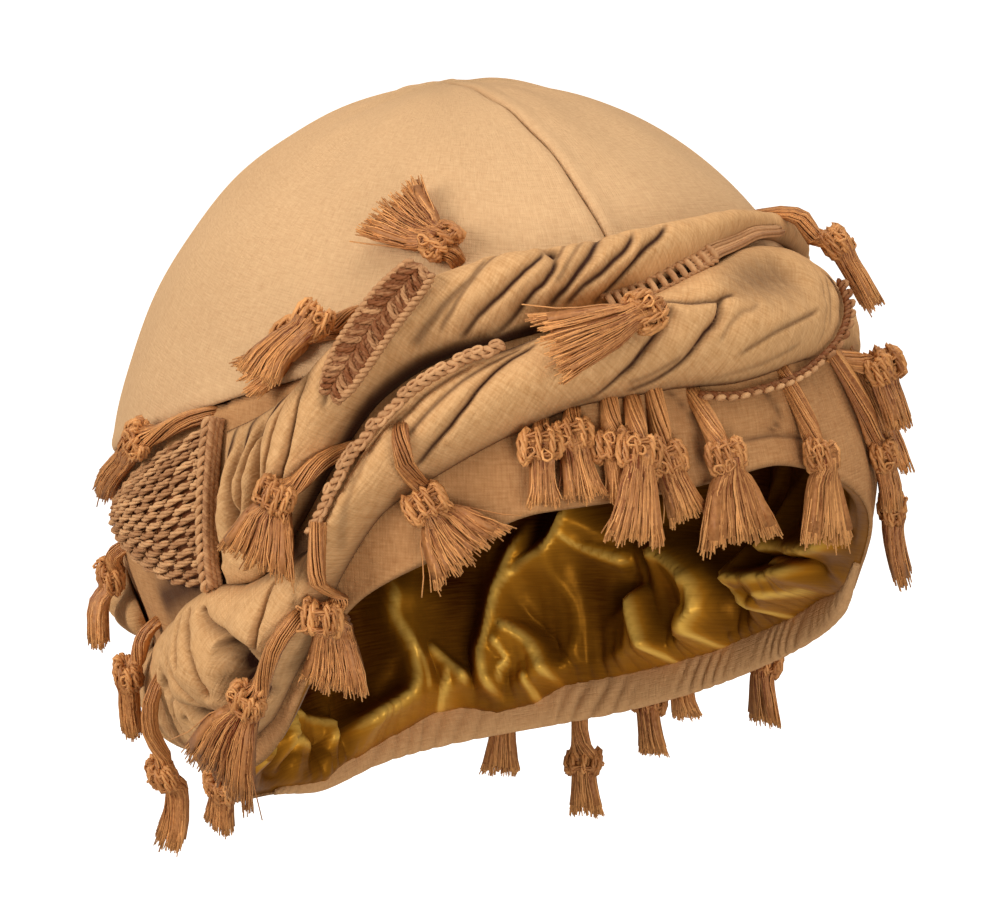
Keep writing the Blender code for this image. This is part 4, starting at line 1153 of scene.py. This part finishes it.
def elastic_hem(finish):
    """The casing round the elastic: a soft roll with close gathers."""
    columns, ring = 420, 24
    gather_run, gather_depth = 5.6, 1.6  # from one gather to the next, and how deep they are, in millimetres
    dark, outer_painted_shade = 0.22, 0.22  # painted shade in the gathers, and on the side that shows below the scarf, to match the band's painted shade
    left_out = 3.0  # how many degrees at each end are too flat to build

    def place(u, v):
        phi = HEM_START + left_out + (HEM_END - HEM_START - 2.0 * left_out) * u
        tall = hem_height(phi)
        full = np.minimum(tall / HEM_HEIGHT, 1.0)
        turn = 2.0 * math.pi * v
        x = phi * CAP_DEGREE
        aslant = x + 3.4 * np.sin(turn) + 2.4 * ripples(x, 0.0 * x, 51, (26.0,))
        gather = np.abs(np.sin(aslant * math.pi / gather_run))
        strength = np.clip(0.6 + 0.7 * ripples(x, 0.0 * x, 52, (36.0,)), 0.08, 1.3)
        # Gathers fade towards the line where the casing meets the band
        dip = gather_depth * (1.0 - gather ** 0.55) * strength * ease((0.7 - np.sin(turn)) / 0.6)
        outer = ease(np.cos(turn) / 0.3) * ease((np.sin(turn) + 0.7) / 0.8)
        half_z = (tall / 2.0 + 0.4) * (1.0 - 0.03 * dip)
        half_out = (HEM_THICK / 2.0) * np.minimum(1.0, 0.35 + full) - dip * 0.7 * full
        middle_z = rim_height(phi) + tall / 2.0
        squared = np.sign(np.cos(turn)) * np.abs(np.cos(turn)) ** 0.8
        return (on_cap(phi, middle_z + half_z * np.sin(turn), -CAP_CLOTH + half_out * squared),
                np.stack([x, 6.0 * turn], 1), dark * (1.0 - gather ** 0.4) * strength + outer_painted_shade * outer)

    mesh = grid_mesh("hem_casing", columns, ring, place)
    piece = mesh_piece("hem_casing", mesh, finish)
    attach(piece, "root")
    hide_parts("gathered_hem")
    return piece


def tassel_sections(row):
    """The middle, the two directions and the half sizes of a tassel's sections, as in the part's source.

    Sections 0 to 2 are the bundle, 3 and 4 the knot and 5 to 7 the skirt.
    """
    _, root_phi, root_z, knot_phi, knot_z, tip_phi, tip_z, spread, knot_lift, tip_lift = row
    shape = [
        # share of the way to the knot, then to the tip; half width, half thickness
        (0.0, 0.0, BUNDLE_HALF, BUNDLE_HALF * 0.8),
        (0.5, 0.0, BUNDLE_HALF * 1.15, BUNDLE_HALF),
        (0.88, 0.0, BUNDLE_HALF * 1.1, BUNDLE_HALF),
        (1.0, 0.0, KNOT_HALF, KNOT_HALF * 0.8),
        (1.0, 0.2, KNOT_HALF * 0.85, KNOT_HALF * 0.75),
        (1.0, 0.34, spread * 0.45 + 1.0, SKIRT_HALF_THICK),
        (1.0, 0.66, spread * 0.78, SKIRT_HALF_THICK),
        (1.0, 1.0, spread, SKIRT_HALF_THICK),
    ]
    places = []
    for to_knot, to_tip, half, thick in shape:
        phi = root_phi + (knot_phi - root_phi) * to_knot + (tip_phi - knot_phi) * to_tip
        z = root_z + (knot_z - root_z) * to_knot + (tip_z - knot_z) * to_tip
        lift = knot_lift * to_knot + (tip_lift - knot_lift) * to_tip
        reach = half * (ROOT_REACH if to_knot == 0.0 else 1.0)
        places.append((phi, z, SEAT + thick + lift + highest_cover(phi, z, reach)))
    places = np.array(places)
    middle = hanging(places[:, 0], places[:, 1], places[:, 2])
    outward = unit(hanging(places[:, 0], places[:, 1], places[:, 2] + 1.0) - middle)
    side = unit(np.cross(np.gradient(middle, axis=0), outward))
    halves = np.array([step[2] for step in shape]) * MM
    thicks = np.array([step[3] for step in shape]) * MM
    return middle, side, outward, halves, thicks


def between(values, stations, at):
    """Values at some stations, read smoothly in between, column by column."""
    values = np.asarray(values, float)
    if values.ndim == 1:
        return hermite(stations, values, at)
    return np.stack([hermite(stations, values[:, k], at) for k in range(values.shape[1])], -1)


def plies(line, across, outward, offset, count, turns, start):
    """The threads of a strand, laid round its middle line with some turns."""
    share = np.linspace(0.0, 1.0, len(line))
    made = []
    for ply in range(count):
        turn = start + 2.0 * math.pi * (turns * share + ply / count)
        made.append(line + offset * (np.cos(turn)[:, None] * across + np.sin(turn)[:, None] * outward))
    return made


def tassel(row, index, finish):
    """A tassel in yarn: the bundle from the scarf's edge, the looped knot and the skirt of cut threads."""
    # Sections are counted from the bundle's root: where the bundle ends inside the knot, the knot's middle,
    # where the skirt starts, and where it ends
    bundle_end, neck, skirt_top, tip = 3.15, 3, 3.45, 7.0
    bundle_twist = 0.8  # how far the bundle's strands turn from one section to the next, in radians
    middle, side, outward, halves, thicks = tassel_sections(row)
    draw = np.random.default_rng(100 + index)
    stations = np.arange(len(middle), dtype=float)
    lines, radii, tones, facing = [], [], [], []
    tuck = TUCKS.get(row[0], 0.0)
    upward = middle[0] - middle[1]
    upward /= np.linalg.norm(upward)

    def lay(line, radius, tone, outwards):
        """Keep one thread."""
        lines.append(line)
        radii.append(np.broadcast_to(radius, (len(line),)).astype(float))
        tones.append(np.broadcast_to(tone, (len(line),)).astype(float))
        facing.append(np.broadcast_to(outwards, line.shape))

    def thread(at, a, b, radius, tone, further=0.0):
        """Lay a thread through sections at, where a and b are shares of their half width and thickness."""
        o = between(outward, stations, at)
        dive = (TUCK_DIVE if tuck else ROOT_DIVE) * MM * np.clip(1.0 - at / 0.7, 0.0, 1.0) ** 2
        line = (between(middle, stations, at) + (a * between(halves, stations, at))[:, None]
                * between(side, stations, at) + (b * between(thicks, stations, at) - dive)[:, None] * o)
        line = line + (tuck * MM * np.clip(1.0 - at / 0.6, 0.0, 1.0))[:, None] * upward
        if further > 0.0:
            line[-1] += (line[-1] - line[-2]) * further
        lay(line, radius, tone, o)

    # Bundle: two strands of fine threads laid round each other, over thick ones that fill them
    at = bundle_end * np.linspace(0.0, 1.0, 10) ** 1.3
    fillers, fine_threads = 5, 28
    for k in range(fillers):
        turn = 2.0 * math.pi * k / fillers + at * bundle_twist
        thread(at, 0.5 * np.cos(turn), 0.5 * np.sin(turn), 0.9 * MM, 0.32)
    for k in range(fine_threads):
        start = 2.0 * math.pi * k / fine_threads + draw.uniform(-0.1, 0.1)
        turn = start + at * bundle_twist
        pinch = 1.0 - 0.22 * np.abs(np.cos(start + at * 0.4)) ** 3
        tone = draw.uniform(0.25, 0.85)
        thread(at, 1.25 * pinch * np.cos(turn), 1.15 * pinch * np.sin(turn), 0.3 * MM, tone)

    # Skirt: thick threads that fill it, then fine ones in loose clumps, cut to nearly one length
    spread = row[7]
    filling = np.linspace(3.5, 6.75, 6)
    for k in range(16):
        a0 = -0.82 + 1.64 * (k % 8) / 7
        b0 = 0.38 if k < 8 else -0.38
        thread(filling, a0 * (0.96 + 0.04 * np.linspace(0, 1, 6)), np.full(6, b0),
               MM * np.linspace(0.75, 0.13 * spread + 0.45, 6), 0.36)
    clumps, threads = 15, 196
    clump_a = np.linspace(-1.0, 1.0, clumps) + draw.uniform(-0.06, 0.06, clumps)
    clump_tone = draw.uniform(-0.13, 0.13, clumps)
    clump_length = draw.normal(0.0, 0.10, clumps)
    golden_angle = 2.39996  # in radians, so that the threads fill the skirt evenly
    for k in range(threads):
        turn = k * golden_angle + draw.uniform(-0.2, 0.2)
        reach = 1.0 if k % 4 else 0.75
        a0 = reach * math.cos(turn)
        b0 = reach * abs(math.sin(turn)) * (1.0 if k % 3 else -1.0)
        near = int(np.argmin(np.abs(clump_a - a0)))
        length = tip + clump_length[near] + draw.normal(0.0, 0.08)
        at = np.linspace(skirt_top, min(length, tip), 7)
        share = np.linspace(0.0, 1.0, 7)
        stray = draw.normal(0.0, 0.04) + (draw.normal(0.0, 0.25) if draw.uniform() < 0.07 else 0.0)
        wave = 0.035 * np.sin(share * draw.uniform(7.0, 14.0) + draw.uniform(0.0, 6.0))
        a = a0 + (clump_a[near] - a0) * 0.35 * share + stray * share ** 2 + wave
        b = b0 * (1.0 + 0.10 * share * math.sin(clump_a[near] * 19.0)) + wave
        tone = 0.48 + clump_tone[near] + draw.uniform(-0.34, 0.34) + 0.3 * share ** 3 - 0.12 * (1.0 - share)
        thread(at, a, b, MM * np.linspace(0.24, 0.18, 7), tone, max(length - tip, 0.0) * 2.0)

    # Knot: upright wraps side by side round the neck, two turns across them and a few curls
    p, s, o = middle[neck], side[neck], outward[neck]
    axis = middle[neck + 1] - middle[neck - 1]
    axis = axis - np.dot(axis, o) * o
    axis /= np.linalg.norm(axis)
    wide, thick = halves[neck] * KNOT_FULL, thicks[neck] * 1.05
    ring = np.linspace(0.0, 2.0 * math.pi, 11)

    def loop(centre, along, across, long_half, short_half, offset, radius, tone, count=3, turns=3.0):
        """Lay a closed loop of plied yarn round a place of the knot."""
        line = (centre + long_half * MM * np.cos(ring)[:, None] * along
                + short_half * MM * np.sin(ring)[:, None] * across)
        over = np.cross(along, across)
        radial = np.cos(ring)[:, None] * along + np.sin(ring)[:, None] * across
        for ply in plies(line, radial, over, offset * MM, count, turns, draw.uniform(0.0, 6.0)):
            lay(ply, radius * MM, tone + draw.uniform(-0.12, 0.12), over)

    # Thick threads fill the knot
    cores = 6
    for k in range(cores):
        turn = 2.0 * math.pi * k / cores
        thread(np.linspace(2.75, 3.9, 5), np.full(5, 0.62 * math.cos(turn)), np.full(5, 0.5 * math.sin(turn)),
               1.9 * MM, 0.36)
    wraps = 9
    for k in range(wraps):
        # Each wrap is a long loop that stands upright at its own place round the neck
        turn = 2.0 * math.pi * k / wraps + draw.uniform(-0.15, 0.15)
        radial = math.cos(turn) * s + math.sin(turn) * o
        centre = p + (0.8 + draw.uniform(-0.4, 0.4)) * MM * axis + wide * 0.78 * math.cos(turn) * s
        centre = centre + thick * 0.62 * math.sin(turn) * o
        loop(centre, axis, radial, draw.uniform(2.7, 3.5), 0.9, 0.5, 0.55, draw.uniform(0.4, 0.75), 3, 2.0)
    for shift in (-1.3, 3.0):
        loop(p + shift * MM * axis, s, o, wide * 0.84 / MM, thick * 0.8 / MM, 0.5, 0.45, 0.4)
    for _ in range(2):
        turn = draw.uniform(-0.2, math.pi + 0.2)
        radial = math.cos(turn) * s + math.sin(turn) * o
        tilt = draw.normal(0.0, 1.0, 3)
        tilt /= np.linalg.norm(tilt)
        second = np.cross(tilt, radial)
        second /= np.linalg.norm(second)
        centre = p + draw.uniform(-1.5, 3.6) * MM * axis
        centre = centre + wide * math.cos(turn) * s + thick * math.sin(turn) * o
        loop(centre, tilt, second, 1.4, 1.0, 0.2, 0.36, draw.uniform(0.5, 0.9), 1)

    mesh = yarn_mesh("yarn_" + row[0], lines, radii, tones, np.concatenate(facing))
    piece = mesh_piece("yarn_" + row[0], mesh, finish)
    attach(piece, "root")
    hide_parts("tassel_" + row[0])
    return piece


def route(rows, share):
    """Columns of a table of places, read at shares of the way along it."""
    table = np.array(rows, float)
    knots = np.arange(len(table), dtype=float)
    return [hermite(knots, table[:, k], np.asarray(share) * knots[-1]) for k in range(table.shape[1])]


def trim_frames(rows, samples, reach, thick):
    """Points on a trim's route with the directions along, across and out of it."""
    columns = route(rows, np.linspace(0.0, 1.0, samples))
    phi, z = columns[0], columns[1]
    lift = np.array([SEAT + thick + highest_cover(a, b, reach) for a, b in zip(phi, z)])
    kernel = np.ones(5) / 5.0
    lift = np.convolve(np.pad(lift, 2, mode="edge"), kernel, mode="valid")
    points = on_cap(phi, z, lift)
    outward = unit(on_cap(phi, z, lift + 1.0) - points)
    ahead = unit(np.gradient(points, axis=0))
    across = np.cross(outward, ahead)
    return points, ahead, across, outward, columns


class Stitches:
    """Yarn lines gathered for one crochet piece."""

    def __init__(self):
        self.lines, self.radii, self.tones, self.facing = [], [], [], []

    def line(self, points, radius, tone, facing):
        """Add one yarn, its radius in millimetres."""
        self.lines.append(np.asarray(points, float))
        self.radii.append(np.broadcast_to(radius, (len(points),)).astype(float) * MM)
        self.tones.append(np.full(len(points), tone))
        self.facing.append(np.broadcast_to(facing, (len(points), 3)))

    def ring(self, centre, along, across, long_half, short_half, radius, tone, points=10):
        """Add one closed loop of yarn, its sizes in millimetres."""
        turn = np.linspace(0.0, 2.0 * math.pi, points + 1)
        line = (centre + long_half * MM * np.cos(turn)[:, None] * along
                + short_half * MM * np.sin(turn)[:, None] * across)
        self.line(line, radius, tone, np.cross(along, across))

    def plied(self, line, across, outward, offset, radius, turns, tone, start):
        """Add a yarn of three plies laid round each other, each a little lighter than the last."""
        for ply in plies(line, across, outward, offset * MM, 3, turns, start):
            self.line(ply, radius, tone, outward)
            tone = tone + 0.08

    def piece(self, name, node, finish):
        """Show all the yarns as one piece, in place of a node."""
        mesh = yarn_mesh(name, self.lines, self.radii, self.tones, np.concatenate(self.facing), sides=5)
        made = mesh_piece(name, mesh, finish)
        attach(made, "root")
        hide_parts(node)
        return made


def plied_cord(stitches, points, across, outward, offset, radius, pitch, tone=0.5, count=2, phase=0.0):
    """A cord of plies laid round each other along a route, one turn to each pitch, in millimetres."""
    run = np.concatenate([[0.0], np.cumsum(np.linalg.norm(np.diff(points, axis=0), axis=1))]) / MM
    for ply in range(count):
        turn = 2.0 * math.pi * (run / pitch + ply / count) + phase
        line = points + offset * MM * (np.cos(turn)[:, None] * across + np.sin(turn)[:, None] * outward)
        stitches.line(line, radius, tone + 0.1 * ply, outward)


def gap_edging(finish):
    """The crochet edge beside the dark gap: a cord with small picots."""
    samples = 110
    points, ahead, across, outward, _ = trim_frames(EDGE_GAP, samples, 1.0, EDGE_RADIUS)
    stitches = Stitches()
    plied_cord(stitches, points, across, outward, 0.7, 0.72, 4.2)
    draw = np.random.default_rng(51)
    for k in range(3, samples - 3, 4):
        spot = points[k] + (0.9 * across[k] * draw.choice([-1.0, 1.0]) + 0.5 * outward[k]) * MM
        aslant = outward[k] * 0.6 + across[k] * 0.8
        stitches.ring(spot, ahead[k], aslant, 1.2, 0.9, 0.5, draw.uniform(0.4, 0.8))
    return stitches.piece("picot_edge", "edge_gap", finish)


def ladder_edging(finish):
    """The open trim on the upper strand: short rungs, then long loose threads."""
    samples, laddered = 140, 78  # the first points carry the ladder, the rest only threads
    points, ahead, across, outward, _ = trim_frames(EDGE_LADDER, samples, 1.0, EDGE_RADIUS)
    stitches = Stitches()
    draw = np.random.default_rng(52)
    for side in (-1.0, 1.0):
        rail = points[:laddered] + side * 2.0 * MM * across[:laddered]
        plied_cord(stitches, rail, across[:laddered], outward[:laddered], 0.35, 0.5, 3.4, tone=0.45)
    for k in range(4, laddered, 6):
        bar = np.stack([points[k] + t * across[k] * MM + (1.2 - 0.25 * t * t) * outward[k] * MM * 0.5
                        for t in np.linspace(-2.0, 2.0, 6)])
        stitches.line(bar, 0.8, draw.uniform(0.5, 0.8), ahead[k])
    for drift in np.linspace(-1.0, 1.0, 9) * 1.9:
        start = draw.integers(60, 76)
        share = np.linspace(0.0, 1.0, samples - start)
        rise = 0.5 * np.sin(share * math.pi) * draw.uniform(0.3, 1.0)
        line = (points[start:] + (drift * (1.0 - 0.5 * share))[:, None] * across[start:] * MM
                + (rise + draw.uniform(-0.6, 0.6))[:, None] * outward[start:] * MM)
        stitches.line(line[::4], 0.42, draw.uniform(0.3, 0.8), outward[start::4])
    return stitches.piece("ladder_edge", "edge_ladder", finish)


def beaded_edging(finish):
    """The beaded crochet edge under the lower strand, darker where it turns up the side."""
    samples, turned_up = 120, 70
    points, ahead, across, outward, _ = trim_frames(EDGE_BEADS, samples, 1.0, EDGE_RADIUS)
    stitches = Stitches()
    draw = np.random.default_rng(53)
    # The cord takes nearly the darkest tone: painted shade in the gaps between the beads
    plied_cord(stitches, points, across, outward, 0.5, 0.6, 3.0, tone=0.02)
    for k in range(3, samples - 2, 6):
        spot = points[k] + (-0.7 * across[k] + 0.6 * outward[k]) * MM
        tone = draw.uniform(0.55, 0.95) if k < turned_up else draw.uniform(0.1, 0.5)
        stitches.ring(spot, ahead[k], outward[k], 0.75, 0.75, 0.62, tone, 8)
    return stitches.piece("bead_edge", "edge_beads", finish)


def braided_patch(finish):
    """The crochet strip across the upper strand: two columns of stacked loops between corded edges."""
    points, ahead, across, outward, columns = trim_frames(CROCHET_PATCH, 121, 3.0, PATCH_THICK / 2.0)
    halves = columns[2] * 0.92
    below = 14  # the first points lie under the strand's top edge, without yarn
    stitches = Stitches()
    draw = np.random.default_rng(54)

    def rail(share, inset, out):
        """A line along the strip, a share of its half width off the middle."""
        off = share * (halves[below:] - inset) * MM
        return points[below:] + off[:, None] * across[below:] + out * outward[below:] * MM

    # Painted shade: a bed of nearly the darkest yarn under the loops, and loops whose random tones are set
    # low
    for k in range(-4, 5):
        stitches.line(rail(k / 4.2, 0.8, -0.2)[::6], 0.9, 0.05, outward[below::6])
    for i in range(18, 120, 6):
        half = halves[i]
        for side in (-1.0, 1.0):
            jitter = draw.uniform(-0.25, 0.25, 3)
            centre = (points[i] + side * (half * 0.44 + jitter[0]) * across[i] * MM
                      + (0.5 + jitter[1]) * outward[i] * MM + jitter[2] * ahead[i] * MM)
            tilt = across[i] + side * 0.5 * ahead[i]
            tilt /= np.linalg.norm(tilt)
            second = ahead[i] * 0.75 + outward[i] * 0.65
            turn = np.linspace(0.0, 2.0 * math.pi, 11)
            cosine, sine = np.cos(turn)[:, None], np.sin(turn)[:, None]
            loop = centre + (half * 0.42 * cosine * tilt + 0.75 * sine * second) * MM
            stitches.plied(loop, cosine * tilt + sine * second, np.cross(tilt, second), 0.36, 0.38, 2.0,
                           draw.uniform(-0.15, 0.4), draw.uniform(0.0, 6.0))
    for side in (-1.0, 1.0):
        plied_cord(stitches, rail(side, 0.3, 0.2), across[below:], outward[below:], 0.5, 0.62, 3.0, tone=0.45)
    return stitches.piece("braided_patch", "crochet_patch", finish)


def scarf_end_panel(finish):
    """The crocheted end of the scarf: rows of thick stitches on a base, with a raised border."""
    first, last = SCARF_END[0][0], SCARF_END[-1][0]
    over, under = 16, 4  # points across the base's outside and across its underside
    rows = 15
    thin = np.array([0.5, 0.85, 1.0, 1.0, 1.0, 1.0, 0.85, 0.5])
    draw = np.random.default_rng(55)
    stitches = Stitches()
    for row in range(rows):
        share = (row + 0.5) / rows
        phi = first + 0.6 + (row % 2) * 2.4 + draw.uniform(-0.4, 0.4)
        while phi < last - 1.5:
            long = draw.uniform(4.6, 5.6)
            at = np.linspace(phi, min(phi + long, last - 0.4), 8)
            top, bottom, thick = (curve(at) for curve in END_CURVES)
            if top[0] - bottom[0] > 9.0 or row % 2:
                z = bottom + (top - bottom) * share + np.linspace(-0.7, 0.7, 8)
                bulge = 1.1 * np.sin(np.linspace(0.1, math.pi - 0.1, 8))
                out = roll(np.full(8, share), thick) - 0.9 + bulge
                points = on_cap(at, z, SEAT + out)
                outward = unit(on_cap(at, z, SEAT + out + 1.0) - points)
                upward = unit(on_cap(at, z + 1.0, SEAT + out) - points)
                stitches.plied(points, upward, outward, 0.42, 0.46 * thin, 0.8, draw.uniform(0.25, 0.7),
                               draw.uniform(0.0, 6.0))
            phi += long - 0.3
    top, bottom, thick = (curve(np.array(last)) for curve in END_CURVES)
    for z in np.arange(float(bottom), float(top), 2.1):
        spot = on_cap(last - 0.6, z, SEAT + 3.4)
        up = on_cap(last - 0.6, z + 1.0, SEAT + 3.4) - spot
        out = on_cap(last - 0.6, z, SEAT + 4.4) - spot
        up, out = up / np.linalg.norm(up), out / np.linalg.norm(out)
        stitches.ring(spot, up * 0.8 + np.cross(up, out) * 0.5, out, 1.5, 1.0, 0.7, draw.uniform(0.4, 0.85))
    z = np.linspace(float(bottom) - 0.5, float(top) + 0.5, 60)
    for lift in (0.6, 1.9, 3.1):
        points = on_cap(last + 0.2, z, SEAT + lift)
        outward = unit(on_cap(last + 0.2, z, SEAT + lift + 1.0) - points)
        across = np.cross(unit(np.gradient(points, axis=0)), outward)
        plied_cord(stitches, points, across, outward, 0.45, 0.6, 3.2, 0.3, 3, 2.0 * lift)

    def place(u, v):
        phi = first + (last - first) * u
        index = np.round(v * (over + under)).astype(int) % (over + under)
        share = np.where(index <= over, index / over, 1.0 - (index - over) / under)
        top, bottom, thick = (curve(phi) for curve in END_CURVES)
        z = bottom + (top - bottom) * share
        out = np.where(index <= over, np.maximum(roll(share, thick) - 1.2, 0.0), 0.0)
        return on_cap(phi, z, SEAT + out), np.stack([phi * CAP_DEGREE, z], 1)

    # The base has no tone attribute, so it takes the yarn's darkest colour: painted shade between the
    # stitches
    base = mesh_piece("scarf_end_base", grid_mesh("scarf_end_base", 40, over + under, place), finish)
    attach(base, "root")
    return stitches.piece("scarf_end_stitches", "scarf_end", finish)


# The floor's level, the place that the lights look at and the lights themselves, in metres and watts
FLOOR_LEVEL = -0.42
LIT_PLACE = (0.0, 0.0, -0.08)
LIGHTS = [
    # name, place, size, power
    ("overhead", (0.42, -0.2, 1.15), 0.9, 9.4),
    ("left", (-1.3, -0.15, 0.5), 0.7, 13.4),
    ("low", (-0.2, -1.3, -0.2), 0.4, 6.6),
]


def studio():
    """Pale floor well below the cap, with a broad light overhead, one at the left and a weak one in front."""
    paper, _, shader = new_finish("white_paper")
    shader.inputs["Base Color"].default_value = linear("#F4F3F1")
    shader.inputs["Roughness"].default_value = 0.9
    shader.inputs["Emission Color"].default_value = linear("#FAF9F7")
    shader.inputs["Emission Strength"].default_value = 0.75
    ground = bmesh.new()
    bmesh.ops.create_grid(ground, x_segments=1, y_segments=1, size=40.0,
                          matrix=Matrix.Translation((0.0, 0.0, FLOOR_LEVEL)))
    sheet = bpy.data.meshes.new("floor")
    ground.to_mesh(sheet)
    ground.free()
    floor = mesh_piece("floor", sheet, paper)
    floor.visible_diffuse = floor.visible_glossy = False
    world = bpy.data.worlds.new("studio_air")
    bpy.context.scene.world = world
    world.use_nodes = True
    air = world.node_tree
    # The air is a little brighter above than below
    toward = add(air, "ShaderNodeTexCoord").outputs["Generated"]
    height = add(air, "ShaderNodeSeparateXYZ", {"Vector": toward}).outputs["Z"]
    strength = add(air, "ShaderNodeMapRange", {"Value": height, "From Min": -0.6, "From Max": 0.6,
                                               "To Min": 0.42, "To Max": 0.56}, clamp=True)
    air.nodes["Background"].inputs["Color"].default_value = (1.0, 0.95, 0.89, 1.0)
    air.links.new(strength.outputs["Result"], air.nodes["Background"].inputs["Strength"])
    aim = Vector(LIT_PLACE)
    for name, place, size, power in LIGHTS:
        lamp = bpy.data.lights.new(name, "AREA")
        lamp.size = size
        lamp.energy = power
        holder = bpy.data.objects.new(name, lamp)
        holder.location = place
        holder.rotation_mode = "QUATERNION"
        holder.rotation_quaternion = (aim - Vector(place)).to_track_quat("-Z", "Y")
        holder.visible_camera = False
        bpy.context.scene.collection.objects.link(holder)
    bpy.context.scene.view_settings.view_transform = "Standard"


def camera():
    """The photograph's viewpoint: from the wearer's right front, a little above, with a slight roll.

    Its directions, its place in millimetres and its lens were fitted to the photograph.
    """
    right = Vector((0.90033495, -0.42513963, -0.09302294))
    up = Vector((0.15750992, 0.11906696, 0.98031305))
    back = Vector((-0.40569397, -0.89726214, 0.17416385))
    data = bpy.data.cameras.new("camera")
    data.sensor_fit = "HORIZONTAL"
    data.sensor_width = 36.0
    data.lens = 180.617
    data.clip_start, data.clip_end = 0.05, 40.0
    holder = bpy.data.objects.new("camera", data)
    bpy.context.scene.collection.objects.link(holder)
    turned = Matrix((right, up, back)).transposed().to_4x4()
    turned.translation = Vector((-484.373, -1075.525, 220.857 - LIFT)) * MM
    holder.matrix_world = turned
    bpy.context.scene.camera = holder


def build():
    """Make every piece."""
    camera()
    studio()
    cap = woven_cotton("cap_cotton", *CAP_COTTON, turn=8.0, fuzz=0.22)
    scarf = woven_cotton("scarf_cotton", *SCARF_COTTON, turn=38.0, pitch=0.7)
    band = woven_cotton("band_cotton_painted_shade", *BAND_COTTON_PAINTED_SHADE, turn=4.0)
    hem = woven_cotton("hem_cotton", *HEM_COTTON, turn=0.0)
    satin = lining_satin()
    yarn = spun_yarn("tassel_yarn", YARN_DARK, YARN_LIGHT, 0.5)
    cord = spun_yarn("crochet_yarn", CROCHET_DARK, CROCHET_LIGHT, 0.7)
    satin_shell(satin)
    crown_panel("crown_left", 1.0, cap, "cap_panel_left")
    crown_panel("crown_right", -1.0, cap, "cap_panel_right")
    side_band(band)
    elastic_hem(hem)
    upper = UPPER_CREASES + generated_creases(UPPER_CURVES, 62.0, 246.0, 4.6, 10.0, 61)
    lower = LOWER_CREASES + generated_creases(LOWER_CURVES, -106.0, 250.0, 3.8, 12.0, 62,
                                              skip=[(-84.0, -50.0), (-36.0, 28.0)])
    scarf_strand("upper_strand", UPPER_CURVES, -67.0, 250.0, upper, UPPER_DENTS, True, 1.1, 600,
                 scarf, "upper_twist")
    scarf_strand("lower_strand", LOWER_CURVES, -110.0, 250.0, lower, LOWER_DENTS, False, 2.9, 660,
                 scarf, "lower_twist")
    scarf_end_panel(cord)
    braided_patch(cord)
    gap_edging(cord)
    ladder_edging(cord)
    beaded_edging(cord)
    for index, row in enumerate(TASSELS):
        tassel(row, index, yarn)


build()
